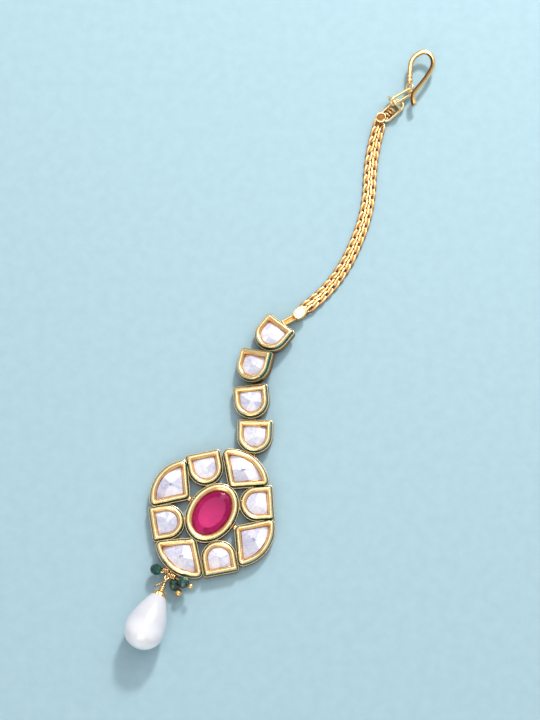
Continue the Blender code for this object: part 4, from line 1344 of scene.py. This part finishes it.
@dataclass
class Pendant:
    """Nine soldered settings round a red oval."""

    long_axis: float = 55.0
    d_radius: float = 10.05
    d_ball_reach: float = 6.20
    fan_ball_back: float = 0.15
    solder_radius: float = 0.66
    solder_height: float = 1.10
    hinge: Hinge = field(default_factory=Hinge)
    d_outline: DOutline = field(default_factory=DOutline)
    fan_outline: FanOutline = field(default_factory=FanOutline)
    oval_outline: OvalOutline = field(default_factory=OvalOutline)
    # name: direction from the long axis, turn
    d_table: tuple = (("north", 43.7, 3.0), ("east", -43.2, -8.0), ("south", 223.7, 2.0),
                      ("west", 136.5, -2.0))
    # name: direction from the long axis, distance of the corner, turn
    fan_table: tuple = (("north_east", 0.0, 6.95, -2.5), ("north_west", 92.0, 6.15, -3.5),
                        ("south_west", 181.5, 6.95, -3.0), ("south_east", -87.0, 6.15, -4.5))
    hinged: tuple = ("north_east", "south_west")

    def d_seats(self) -> list:
        """Seats of the half-round settings."""
        return [Seat(name, self.long_axis + direction, self.d_radius, turn, self.d_ball_reach)
                for name, direction, turn in self.d_table]

    def fan_seats(self) -> list:
        """Seats of the fan settings."""
        return [Seat(name, self.long_axis + direction, distance, turn,
                     distance - self.fan_ball_back)
                for name, direction, distance, turn in self.fan_table]

    def hinge_of(self, name: str) -> tuple:
        """Place and reach of the hinge in a fan setting's arc."""
        place = next(seat.place() for seat in self.fan_seats() if seat.name == name)
        turn = math.degrees(self.fan_outline.notch_turn)
        return place.turned(turn), self.fan_outline.radius + Collet.wall_out

    def seated(self, seat: Seat, collet: Collet) -> list:
        """A setting at its seat, with its solder ball."""
        middle = seat.ball_reach * bearing(seat.direction) + UP * self.solder_height
        return [collet.surface().placed(seat.place()), ball(middle, self.solder_radius)]

    def frame(self) -> Surface:
        """All settings, solder balls and hinge rods."""
        oval = Collet(self.oval_outline, OvalCut.rim, rise=0.06, seed=3).surface()
        parts = [oval.placed(Place.flat(0, 0, self.long_axis))]
        for seed, seat in enumerate(self.d_seats(), 10):
            parts += self.seated(seat, Collet(self.d_outline, rise=-0.04, seed=seed))
        for seed, seat in enumerate(self.fan_seats(), 20):
            hinged = seat.name in self.hinged
            parts += self.seated(seat, Collet(self.fan_outline, seed=seed, notched=hinged))
            if hinged:
                parts.append(self.hinge.rod(*self.hinge_of(seat.name)))
        return joined(parts)

    def build(self, finishes: Finishes) -> None:
        """Make the frame and its stones."""
        dress("pendant_frame", "gold", "pendant_settings", self.frame(),
              [finishes.gold, finishes.enamel])
        ruby = OvalCut(self.oval_outline).surface().placed(Place.flat(0, 0, self.long_axis))
        dress("red_stone", "red_stone", "cut_ruby", ruby, [finishes.ruby], 8.0)
        for seed, seat in enumerate(self.d_seats(), 30):
            set_polki(seat.name, CutStone(self.d_outline, seed=seed), seat.place(), finishes)
        for seed, seat in enumerate(self.fan_seats(), 40):
            stone = CutStone(self.fan_outline, seed=seed, peak=(4.9, 0.1), planes=5, table=2.95,
                             steep=0.62, mark=(0.55, 0.50), mark_strength=1.0)
            set_polki(seat.name, stone, seat.place(), finishes)


@dataclass
class Strand:
    """Four hinged half-round settings between the chain and the pendant."""

    pendant: Pendant
    hinge: Hinge = field(default_factory=Hinge)
    outline: DOutline = field(default_factory=DOutline)
    stem_reach: float = 0.70
    # name: x, y, way the flat side faces, roll
    stations: tuple = (
        ("strand_1", 12.95, 40.45, 51.0, 12.0),
        ("strand_2", 8.65, 33.19, 76.0, 21.0),
        ("strand_3", 8.50, 24.98, 94.7, 8.0),
        ("strand_4", 9.30, 17.13, 88.2, 5.0),
    )

    def reach(self) -> float:
        """Distance from the middle to the outer wall of the flat side."""
        return self.outline.depth / 2 + Collet.wall_out

    def places(self) -> list:
        """Where each setting lies."""
        half = self.outline.width / 2 + Collet.wall_out
        return [Place.flat(x, y, angle).rolled(roll, Collet.lip_height, half)
                for _, x, y, angle, roll in self.stations]

    def first_hinge(self) -> tuple:
        """Middle and way out of the hinge that the chain's cap grips."""
        return self.hinge.point(self.places()[0], self.reach())

    def build(self, finishes: Finishes) -> None:
        """Make each setting with its rod, the loop to the next one, and its stone."""
        places = self.places()
        hinges = [self.hinge.point(place, self.reach()) for place in places]
        hinges.append(self.hinge.point(*self.pendant.hinge_of("north_east")))
        stem = np.array([self.stem_reach - self.reach(), 0.0, self.hinge.height])
        for i, (place, next_hinge) in enumerate(zip(places, hinges[1:])):
            name = self.stations[i][0]
            parts = [Collet(self.outline, seed=50 + i, notched=True).surface().placed(place),
                     self.hinge.rod(place, self.reach()),
                     *self.hinge.loop(*next_hinge, place.apply(stem))]
            dress("setting_" + name, "gold", "collet_" + name, joined(parts),
                  [finishes.gold, finishes.enamel])
            set_polki(name, CutStone(self.outline, seed=60 + i), place, finishes)


# Chain, caps and rings


@dataclass
class Chain:
    """Flat double curb chain: two rows of rolled, filed links side by side."""

    pitch: float = 2.30
    first_link: float = 1.54
    length: float = 3.30
    breadth: float = 0.98
    half_width: float = 0.345
    end_swell: float = 0.22
    half_height: float = 0.25
    roll: float = math.radians(42.0)
    offset: float = 0.75
    drop: float = 0.20
    filed: float = 0.36
    squareness: float = 0.85
    segments: int = 30
    sides: int = 12
    route: tuple = (
        (19.80, 45.90, 1.25), (22.1, 47.9, 1.05), (25.0, 50.6, 0.78), (27.7, 53.8, 0.74),
        (30.1, 57.5, 0.74), (32.1, 61.6, 0.74), (33.7, 65.7, 0.74), (34.9, 69.9, 0.74),
        (35.6, 74.3, 0.74), (35.9, 78.7, 0.74), (36.4, 83.0, 0.82), (37.2, 87.1, 1.02),
        (38.1, 90.4, 1.25), (38.40, 92.10, 1.25),
    )

    def frames(self, late: float) -> tuple:
        """Middle, way, side and up of every link of a row, evenly along the route."""
        line = smooth_path(np.array(self.route), 1200)
        count = 1 + int((distances(line)[-1] - 2 * self.first_link) / self.pitch - late)
        where = self.first_link + (np.arange(count) + late) * self.pitch
        middle = read_at(line, where)
        way = unit(read_at(line, where + 0.4) - read_at(line, where - 0.4))
        side = unit(np.cross(UP, way))
        middle = middle - UP * self.drop * np.clip((1.25 - middle[:, 2:]) / 0.51, 0, 1)
        return middle, way, side, np.cross(way, side)

    def row(self, hand: int, late: float) -> Surface:
        """All links of one row as a grid each.

        A link's path is (length/2 cos^0.85, breadth/2 sin) and is rolled about the row's
        way by an angle that grows with cos, so that both ends turn opposite ways.  Its
        section is a flattened circle, and heights are cut off at the filed height.
        """
        middle, way, side, up = self.frames(late)
        angle = (np.arange(self.segments) + 0.5) * math.tau / self.segments
        share = np.sign(np.cos(angle)) * np.abs(np.cos(angle)) ** self.squareness
        along = self.length / 2 * share
        spread = self.breadth / 2 * np.sin(angle)
        turn = self.roll * along / (self.length / 2) * hand
        path = np.stack([along, spread * np.cos(turn), spread * np.sin(turn)], axis=-1)
        tangent = unit(np.roll(path, -1, axis=0) - np.roll(path, 1, axis=0))
        level = np.stack([np.zeros_like(turn), -np.sin(turn), np.cos(turn)], axis=-1)
        outward = unit(np.cross(tangent, level))
        height = np.cross(outward, tangent)
        section = strip_section(self.half_width, self.half_height, self.sides, 2.4)
        swell = (1 + self.end_swell * np.abs(np.cos(angle)) ** 6)[:, None, None]
        link = (path[:, None] + outward[:, None] * section[None, :, :1] * swell
                + height[:, None] * section[None, :, 1:])
        rough = link[..., 2]
        cut = np.clip(rough, -self.filed, self.filed)
        beyond = 0.06 * np.clip(np.abs(rough) - self.filed, 0, 1) * np.sign(rough)
        link[..., 2] = cut + beyond
        # Painted light and shade: tone and dark share rise towards each link's underside, its top
        # stays bright.
        tone = np.clip(0.75 - link[..., 2] / self.filed * 0.7, 0.05, 1.0)
        pits_and_shade = np.clip(0.9 - 1.3 * (link[..., 2] + 0.12) / self.filed, 0, 0.9)
        shift = side * (self.offset * hand)
        frame = np.stack([way, side, up], axis=1)
        grids = ((middle + shift)[:, None, None]
                 + sum(link[None, ..., k:k + 1] * frame[:, k][:, None, None] for k in range(3)))
        return joined([skin(grid, Way.RING, tone, pits_and_shade) for grid in grids])

    def build(self, finishes: Finishes) -> None:
        """Make both rows."""
        for name, hand, late in (("left", 1, 0.0), ("right", -1, 0.5)):
            dress("chain_row_" + name, "gold", "curb_row_" + name, self.row(hand, late),
                  [finishes.chain_gold], 40)


@dataclass
class CrimpCap:
    """Two domed plates and a back wall that grip the end of the chain."""

    centre: np.ndarray
    way: np.ndarray
    length: float
    width: float
    dome: float
    slot: float = 0.883
    plate: float = 0.34
    grip: float = 1.50

    def disc(self, low: float, high: float, dome: float, reach: tuple = (-1.0, 1.0),
             face: float = 0.0, rim: float = 0.84) -> Surface:
        """A blunt plate with a rim: rings of |x/a|^2.4 + |y/b|^2.4 = 1 that shrink inwards."""
        side = np.cross(UP, self.way)
        outline = strip_section(self.length / 2, self.width / 2, 64, 2.4)
        outline[:, 0] = np.clip(outline[:, 0], reach[0] * self.length / 2,
                                reach[1] * self.length / 2)
        over = np.linspace(0, QUARTER, 6)
        shares = np.concatenate([[0.93, 1.0, 1.0],
                                 rim + 0.08 + (0.92 - rim) * np.cos(over)[1:],
                                 [rim, rim - 0.03, rim - 0.08, 0.40, 0.04]])
        top = high + dome
        heights = np.concatenate([[low, low + 0.08, high], high + dome * np.sin(over)[1:],
                                  [top, top - 0.05, top - 0.06, top - 0.03, top - 0.02]])
        flat = outline[None] * shares[:, None, None]
        grid = (self.centre + flat[..., :1] * self.way + flat[..., 1:] * side
                + heights[:, None, None] * UP)
        # Painted light and shade: high tone at the plate's lower edge, a painted highlight on its
        # rim, a darker recess inside the rim, and the given share of painted shade on the top.
        tone = np.concatenate([[0.8, 0.6, 0.1], np.full(6, 0.0), [0.6], np.full(3, face)])
        pits_and_shade = np.concatenate([np.zeros(9), [0.3], np.full(3, face)])
        return skin(grid, tone=tone[:, None], facet=pits_and_shade[:, None])

    def surface(self) -> Surface:
        """Lower plate, upper domed plate and the wall behind the chain."""
        wall_end = 1.0 - 2 * self.grip / self.length
        return joined([
            self.disc(-self.slot - self.plate, -self.slot, 0.0),
            self.disc(self.slot, self.slot + self.plate * 0.3, self.dome + self.plate * 0.5),
            self.disc(-self.slot, self.slot, 0.0, (-1.0, wall_end)),
        ])


@dataclass
class Fittings:
    """End caps, bail, rings and hair hook."""

    chain: Chain
    strand: Strand
    cap_gap: float = 0.18
    # length, width and dome of each cap and of the upper one's badge
    lower_size: tuple = (3.30, 2.60, 0.14)
    lower_grip: float = 1.50
    upper_size: tuple = (2.45, 2.10, 0.08)
    upper_grip: float = 1.30
    badge_size: tuple = (2.40, 1.90, 0.08)
    badge_bearing: float = 34.0
    tongue_half: float = 0.62
    bar_aside: float = 0.46
    post_radius: float = 0.24
    post_back: float = 0.55
    post_aside: float = 0.84
    wire: float = 0.30
    bail_wire: float = 0.34
    ring_wire: float = 0.36
    link_wire: float = 0.36
    ring_lean: float = math.radians(11.0)
    bail_length: float = 6.10
    bail_width: float = 2.50
    bail_way: tuple = (0.74, 0.67, 0.0)
    bail_near: float = 0.80
    bail_rise: float = 0.045
    # radius, turns, length and wire of the coil wound inside the bail, and where it starts
    bail_coil: tuple = (0.52, 3.0, 2.4, 0.32)
    bail_coil_start: float = 0.95
    ring_radius: float = 1.80
    ring_back: float = 1.34
    ring_aside: float = 0.80
    link_width: float = 1.56
    link_drop: float = 0.25
    link_roll: float = math.radians(50.0)
    play: float = 0.12
    link_play: float = 0.20
    hook_half_width: float = 0.58
    hook_half_height: float = 0.46
    hook_flare: float = 1.25
    # all along the hook as shares of its length: height, place and width of each collar,
    # place of each dark line, and the lean in degrees at some places
    hook_collars: tuple = ((0.12, 0.030, 0.010), (0.09, 0.075, 0.008))
    hook_lines: tuple = (0.016, 0.052, 0.088)
    hook_lean: tuple = ((0.0, 0.35, 0.55, 0.85, 1.0), (0.0, 0.0, 56.0, 56.0, 35.0))
    eye_radius: float = 0.95
    eye_wire: float = 0.27
    eye_drop: float = -0.15
    eye_lean: float = math.radians(47.0)
    hook_route: tuple = (
        (45.25, 100.60, 1.95), (45.35, 103.20, 2.30), (45.65, 105.60, 2.55),
        (46.70, 107.15, 2.70), (48.60, 108.10, 2.80), (50.15, 107.32, 2.85),
        (50.72, 105.50, 2.85), (50.20, 103.60, 2.85), (48.70, 101.25, 2.80),
        (47.10, 99.25, 2.75), (46.15, 97.95, 2.70), (45.95, 96.50, 2.60),
        (46.20, 95.10, 2.50),
    )

    def lower_cap(self, finishes: Finishes) -> None:
        """The cap between the chain and the strand, with a slotted tongue."""
        route = np.array(self.chain.route)
        way = unit((route[1] - route[0]) * np.array([1, 1, 0]))
        length = self.lower_size[0]
        centre = route[0] + way * (self.lower_grip - self.cap_gap - length / 2)
        cap = CrimpCap(centre, way, *self.lower_size, grip=self.lower_grip)
        point, outward = self.strand.first_hinge()
        end = point + outward * (self.strand.hinge.loop_radius + 0.25)
        start = centre - way * length / 4
        side = unit(np.cross(UP, end - start))
        share = np.linspace(0, 1, 24)
        path = start + share[:, None] * (end - start)
        swell = 1.15 - 0.29 * share ** 2
        bar = strip_section(0.24, 0.25, 14, 2.6)
        bars = [skin(sweep(path + side * (self.bar_aside * hand), bar, UP,
                           swell=swell), tone=np.full((24, 1), 0.3)) for hand in (-1, 1)]
        # Painted shade: the tongue's floor between the bars gets a tone of 0.95.
        floor = skin(sweep(path - UP * 0.12, strip_section(self.tongue_half, 0.10, 14, 3.0), UP,
                           swell=swell), tone=np.full((24, 1), 0.95))
        parts = [cap.surface(), floor, *bars]
        parts += self.strand.hinge.loop(point, outward, end + outward * 0.3)
        parts.append(rod(end - side * self.tongue_half, end + side * self.tongue_half, 0.24))
        dress("lower_end_cap", "gold", "crimp_cap_lower", joined(parts), [finishes.gold])

    def upper_cap(self, finishes: Finishes) -> np.ndarray:
        """The cap at the chain's upper end; returns the foot of its post."""
        route = np.array(self.chain.route)
        end = route[-1]
        back = unit((route[-2] - end) * np.array([1, 1, 0]))
        half = self.upper_size[0] / 2
        centre = end + back * (self.upper_grip - self.cap_gap - half)
        cap = CrimpCap(centre, back, *self.upper_size)
        foot = (centre - back * (half - self.post_back)
                - np.cross(UP, -back) * self.post_aside)
        reach = UP * (cap.slot + cap.plate / 2)
        plates = [cap.disc(-cap.slot - cap.plate, -cap.slot, 0.0),
                  cap.disc(cap.slot, cap.slot + 0.20, 0.08)]
        badge = CrimpCap(centre, bearing(self.badge_bearing), *self.badge_size)
        # The badge's top is painted with shade, which turns it brown.
        plates.append(badge.disc(cap.slot + 0.24, cap.slot + 0.32, 0.03, face=0.86, rim=0.91))
        post = rod(foot - reach, foot + reach, self.post_radius)
        dress("upper_end_cap", "gold", "crimp_cap_upper", joined([*plates, post]),
              [finishes.wire_gold])
        return foot

    def eye(self) -> np.ndarray:
        """Middle of the eye at the start of the hook."""
        return np.array(self.hook_route[0]) + np.array([0.0, -self.eye_radius, self.eye_drop])

    def rings(self, foot: np.ndarray, finishes: Finishes) -> None:
        """Bail, standing ring and the link to the hook."""
        way = unit(np.array(self.bail_way))
        across = np.cross(UP, way)
        near = foot - way * (self.post_radius + self.wire + self.play)
        near[2] = self.bail_near
        slope = unit(way + UP * self.bail_rise)
        half = self.bail_length / 2
        bail = oval_ring(near + slope * half, slope, across, half, self.bail_width / 2,
                         self.bail_wire, 96, tall=1.15)
        wound = coil(near + slope * self.bail_coil_start, slope, *self.bail_coil, 10, pits_and_shade=0.35)
        dress("bail_ring", "gold", "oval_bail", joined([bail, wound]), [finishes.wire_gold])
        foot = near + slope * (self.bail_length - self.ring_back) + across * self.ring_aside
        foot[2] = self.ring_wire + 0.03
        upright = UP * math.cos(self.ring_lean) - way * math.sin(self.ring_lean)
        middle = foot + upright * self.ring_radius
        ring = round_ring(middle, across, upright, self.ring_radius, self.ring_wire, 80)
        dress("standing_ring", "gold", "jump_ring", ring, [finishes.wire_gold])
        start = middle + upright * (self.ring_radius - self.play)
        end = self.eye() - np.array([0.0, self.eye_radius, self.link_drop])
        link_way = unit(end - start)
        level = unit(np.cross(UP, link_way))
        link_across = (level * math.cos(self.link_roll)
                       + np.cross(link_way, level) * math.sin(self.link_roll))
        reach = np.linalg.norm(end - start) / 2 + 2 * self.wire + self.link_play
        link = oval_ring((start + end) / 2, link_way, link_across, reach, self.link_width / 2,
                         self.link_wire, 96)
        dress("hook_link", "gold", "oval_link", link, [finishes.wire_gold])

    def hook(self, finishes: Finishes) -> None:
        """Bent strip with two collars, a flared tail and a standing eye."""
        path = smooth_path(np.array(self.hook_route), 150)
        share = np.linspace(0, 1, len(path))
        lean = np.radians(np.interp(share, self.hook_lean[0], self.hook_lean[1]))[:, None]
        outward = unit(np.cross(UP, np.gradient(path, axis=0)))
        lift = UP * np.cos(lean) + outward * np.sin(lean)
        flare = 1.0 + (self.hook_flare - 1.0) * np.clip((share - 0.86) / 0.14, 0, 1) ** 1.5
        collar = sum(high * np.exp(-((share - at) / wide) ** 2)
                     for high, at, wide in self.hook_collars)
        section = strip_section(self.hook_half_width, self.hook_half_height, 28, 2.7)
        ends = np.clip(np.minimum(share, 1 - share) / 0.006, 0.75, 1)
        shape = section[None] * (flare * (1 + collar) * ends)[:, None, None]
        grid = sweep(path, shape, lift)
        # Painted light and shade: up the first leg a low tone down the strip's middle paints a
        # highlight stripe between deeper edges; after it the strip is painted bright and its inner
        # side painted dark.
        inner = np.clip(section[:, 0] / self.hook_half_width * 2.2 - 1.0, 0, 1)
        later = np.clip((share[:, None] - 0.38) / 0.08, 0, 1)
        edges = (section[None, :, 0] / self.hook_half_width) ** 2
        lines = sum(np.exp(-((share[:, None] - at) / 0.005) ** 2) for at in self.hook_lines)
        shaded = inner[None] * later
        tone = np.clip(0.75 * edges * (1 - later) + 0.10 * later + 0.5 * shaded
                       + 0.6 * lines, 0, 1)
        strip = skin(grid, tone=tone, facet=0.85 * shaded + 0.25 * np.clip(lines, 0, 1))
        lean = np.array([math.cos(self.eye_lean), 0.0, math.sin(self.eye_lean)])
        ring = round_ring(self.eye(), np.array([0.0, 1.0, 0.0]), lean, self.eye_radius,
                          self.eye_wire, 56)
        dress("hair_hook", "gold", "bent_hair_hook", joined([strip, ring]),
              [finishes.wire_gold], 60)

    def build(self, finishes: Finishes) -> None:
        """Make every fitting."""
        self.lower_cap(finishes)
        self.rings(self.upper_cap(finishes), finishes)
        self.hook(finishes)


@dataclass
class Drop:
    """Ring, green beads on wrapped pins and the pearl with its cap."""

    pendant: Pendant
    ring_length: float = 2.60
    ring_width: float = 0.90
    tilt: float = math.radians(22.0)
    wire: float = 0.15
    play: float = 0.12
    pin_loop: float = 0.42
    pin_loop_play: float = 0.04
    pin_wire: float = 0.10
    pin_radius: float = 0.16
    bead_radius: float = 1.33
    bead_cut: float = 0.36
    coil_pitch: float = 0.43
    spur: tuple = (-2.15, -0.95, 0.15)
    # name: angle on the ring, distance back, middle of the bead, head, coil radius, turns
    bead_table: tuple = (
        ("left", 90.0, 0.76, (-12.22, -12.55, 2.38), 0.0, 0.62, 3.6),
        ("front", -90.0, 0.53, (-8.12, -15.90, 1.48), 0.80, 0.52, 2.4),
        ("right", 90.0, 0.15, (-6.10, -15.55, 3.15), 0.63, 0.62, 3.2),
    )
    pearl_ball: tuple = (-14.40, -25.80, 4.63)
    pearl_neck: tuple = (-11.25, -17.95, 3.05)
    pearl_profile: tuple = (
        (0.24, 0.02), (0.27, 0.55), (0.44, 1.38), (1.04, 2.62), (2.18, 3.73), (3.50, 4.29),
        (4.80, 4.44), (6.20, 4.32), (8.00, 3.84), (9.80, 3.15), (11.40, 2.40), (12.60, 1.74),
    )
    cap_gap: float = 0.12
    cap_height: float = 0.95
    cap_radius: float = 1.56
    cap_flutes: int = 16
    # radius, turns, length and wire of the coil above the cap
    neck_coil: tuple = (0.46, 3.2, 1.45, 0.23)
    spur_start: float = 0.22

    def ring_axes(self) -> tuple:
        """Middle, long way and cross way of the drop ring."""
        hinge = self.pendant.hinge
        point, outward = hinge.point(*self.pendant.hinge_of("south_west"))
        along = outward * math.cos(self.tilt) + UP * math.sin(self.tilt)
        across = UP * math.cos(self.tilt) - outward * math.sin(self.tilt)
        middle = point + along * (self.ring_length / 2 - hinge.rod_radius - self.wire
                                  - self.play)
        return middle, along, across

    def station(self, degrees: float, back: float) -> tuple:
        """Middle and axis of a small loop on the drop ring."""
        middle, along, across = self.ring_axes()
        turn = math.radians(degrees)
        spoke = along * math.cos(turn) + across * math.sin(turn)
        tangent = across * math.cos(turn) - along * math.sin(turn)
        bend = middle + along * ((self.ring_length - self.ring_width) / 2 - back)
        return bend + spoke * (self.ring_width / 2 + self.pin_loop_play), tangent

    def pin(self, station: tuple, target: np.ndarray, beyond: float, coil_radius: float,
            turns: float) -> tuple:
        """Loop, shaft and wound wire of a pin; returns its surfaces and its way."""
        loop_middle, normal = station
        straight = unit(target - loop_middle)
        across = unit(np.cross(normal, straight))
        along = unit(np.cross(across, normal))
        loop = round_ring(loop_middle, along, across, self.pin_loop, self.pin_wire, 32, 10)
        start = loop_middle + along * self.pin_loop
        way = unit(target - start)
        shaft = rod(start, target + way * beyond, self.pin_radius)
        length = min(np.linalg.norm(target - start) - self.bead_radius * 0.80,
                     self.coil_pitch * turns)
        wound = coil(start + way * 0.05, way, coil_radius - 0.13, turns, length, 0.19,
                     swell=0.05)
        return [loop, shaft, wound], way

    def bead(self, middle: np.ndarray, way: np.ndarray, seed: int) -> Surface:
        """Faceted bead: rings of points on a ball, each turned by half a step.

        Row v lies at height -r cos(v) along the way with radius r sin(v).
        """
        rows, count = 6, 8
        v = np.linspace(self.bead_cut, math.pi - self.bead_cut, rows)
        odd = 0.5 * (np.arange(rows) % 2)[:, None]
        angle = (np.arange(count)[None] + odd) * math.tau / count
        across, height = square_to(way)
        spoke = np.cos(angle)[..., None] * across + np.sin(angle)[..., None] * height
        grid = (middle - self.bead_radius * np.cos(v)[:, None, None] * way
                + self.bead_radius * np.sin(v)[:, None, None] * spoke)
        # Each point gets a random painted facet shade.
        shade = np.random.default_rng(seed).uniform(0, 1, grid.shape[:2])
        return skin(grid, facet=shade)

    def ring_and_beads(self, finishes: Finishes) -> None:
        """The drop ring, the three pins with their coils and heads, and the beads."""
        middle, along, across = self.ring_axes()
        ring = oval_ring(middle, along, across, self.ring_length / 2, self.ring_width / 2,
                         self.wire, 64)
        dress("drop_ring", "gold", "drop_oval_ring", ring, [finishes.wire_gold])
        for seed, (name, angle, back, target, head, radius, turns) in enumerate(self.bead_table):
            goal = np.array(target)
            beyond = self.bead_radius if head else 0.0
            parts, way = self.pin(self.station(angle, back), goal, beyond, radius, turns)
            if head:
                parts.append(ball(goal + way * (self.bead_radius + head), head))
            dress("pin_" + name, "gold", "wrapped_pin_" + name, joined(parts),
                  [finishes.wire_gold])
            dress("bead_" + name, "green_stone", "cut_bead_" + name,
                  self.bead(goal, way, seed), [finishes.bead], 5)

    def pearl(self, finishes: Finishes) -> None:
        """The pearl drop, its fluted cap and its wrapped hanger."""
        round_end = np.array(self.pearl_ball)
        axis = unit(np.array(self.pearl_neck) - round_end)
        rows = np.array(self.pearl_profile)
        base = round_end - axis * rows[rows[:, 1].argmax(), 0]
        profile = smooth_path(np.column_stack([rows, np.zeros(len(rows))]), 72)[:, :2]
        # Painted light: the tone is 1 at the end away from the cap and falls to 0 at about half
        # its length.
        drop = turned(base, axis, profile, 96,
                      tone=np.clip(1.15 - profile[:, 0] / 5.5, 0, 1))
        dress("pearl", "pearl_white", "pearl_drop", drop, [finishes.pearl], 80)
        foot = base + axis * (rows[-1, 0] + self.cap_gap)
        v = np.linspace(0, QUARTER * 0.93, 16)
        dome = np.stack([self.cap_height * np.sin(v) ** 0.8,
                         self.cap_radius * np.cos(v) ** 0.32], axis=-1)
        lip = np.array([[-0.02, 1.38], [-0.05, 1.54], [0.0, 1.61]])
        cap = turned(foot, axis, np.vstack([lip, dome[1:]]), 96,
                     lambda share, turn: (1 + 0.030 * np.cos(self.cap_flutes * turn)
                                          * (1 - share)),
                     np.linspace(0.55, 0.35, 18)).slotted(1)
        station = self.station(0.0, 0.0)
        parts, _ = self.pin(station, foot + axis * 0.70, 0.0, 0.42, 2.0)
        neck_coil = coil(foot + axis * self.cap_height, axis, *self.neck_coil)
        root = station[0] + (foot - station[0]) * self.spur_start
        way = unit(np.array(self.spur))
        length = np.linalg.norm(self.spur)
        twist = coil(root, way, 0.12, 4.5, length, 0.14)
        core = rod(root, root + way * (length - 0.1), 0.12)
        dress("pearl_cap", "gold", "pearl_cap_wrapped",
              joined([cap, neck_coil, twist, core, *parts]), [finishes.wire_gold, finishes.gold])

    def build(self, finishes: Finishes) -> None:
        """Make the whole drop."""
        self.ring_and_beads(finishes)
        self.pearl(finishes)


# Studio


@dataclass
class Panel:
    """A soft rectangular light that faces the ornament."""

    name: str
    place: tuple
    size: float
    power: float
    colour: tuple = (1.0, 1.0, 1.0)

    def build(self, target: Vector) -> None:
        """Make the light and turn it to the target."""
        lamp = bpy.data.lights.new(self.name, "AREA")
        lamp.shape = "SQUARE"
        lamp.size = self.size
        lamp.energy = self.power
        lamp.color = self.colour
        thing = bpy.data.objects.new(self.name, lamp)
        bpy.context.collection.objects.link(thing)
        thing.location = Vector(self.place)
        thing.rotation_euler = (target - thing.location).to_track_quat("-Z", "Y").to_euler()


@dataclass
class Studio:
    """Floor, lights, pale surroundings and the camera."""

    camera_place: tuple = (0.012814, -0.068637, 0.449574)
    tilt: float = math.radians(13.0)
    view_angle: float = math.radians(20.0)
    floor_half: float = 0.60
    floor_sink: float = 0.02
    lit_place: tuple = (0.012, 0.035, 0.0)
    world: tuple = (1.0, 0.99, 0.98, 1.0)
    world_strength: float = 0.62
    panels: tuple = (
        Panel("key", (0.162, 0.485, 0.40), 0.08, 3.45, (1.0, 0.985, 0.96)),
        Panel("softbox", (0.36, 0.50, 0.45), 0.50, 1.50, (1.0, 0.99, 0.97)),
        Panel("fill", (-0.16, -0.46, 0.34), 0.36, 0.95, (0.98, 0.99, 1.0)),
        Panel("glare", (0.080, 0.240, 0.45), 0.15, 0.22),
        Panel("overhead", (-0.013, 0.075, 0.46), 0.20, 0.22),
    )

    def floor(self, finishes: Finishes) -> None:
        """A flat grid with a point every tenth of its width."""
        step = np.linspace(-self.floor_half, self.floor_half, 11) / MM
        x, y = np.meshgrid(step, step, indexing="ij")
        grid = np.stack([x, y, np.full_like(x, -self.floor_sink)], axis=-1)
        thing = make_piece("pale_floor", skin(grid, Way.OPEN), [finishes.floor])
        if thing.data.polygons[0].normal.z < 0:
            thing.data.flip_normals()

    def camera(self) -> None:
        """A camera at the photograph's angle, upright frame."""
        data = bpy.data.cameras.new("camera")
        data.sensor_fit = "VERTICAL"
        data.sensor_height = 24.0
        data.lens = 12.0 / math.tan(self.view_angle / 2)
        data.clip_start = 0.01
        data.clip_end = 10.0
        thing = bpy.data.objects.new("camera", data)
        bpy.context.collection.objects.link(thing)
        thing.location = self.camera_place
        thing.rotation_euler = (self.tilt, 0.0, 0.0)
        bpy.context.scene.camera = thing

    def build(self, finishes: Finishes) -> None:
        """Set the studio up."""
        self.floor(finishes)
        for panel in self.panels:
            panel.build(Vector(self.lit_place))
        world = bpy.data.worlds.new("surroundings")
        world.use_nodes = True
        shade = world.node_tree.nodes["Background"]
        shade.inputs["Color"].default_value = self.world
        shade.inputs["Strength"].default_value = self.world_strength
        bpy.context.scene.world = world
        bpy.context.scene.view_settings.view_transform = "Standard"
        self.camera()


def main() -> None:
    """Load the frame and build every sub-assembly in order."""
    logging.basicConfig(level=logging.INFO, format="%(name)s %(message)s")
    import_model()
    finishes = Finishes.build()
    pendant = Pendant()
    strand = Strand(pendant)
    chain = Chain()
    for part in (pendant, strand, chain, Fittings(chain, strand), Drop(pendant)):
        part.build(finishes)
        LOG.info("built %s", type(part).__name__)
    Studio().build(finishes)
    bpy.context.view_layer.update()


if __name__ == "__main__":
    main()
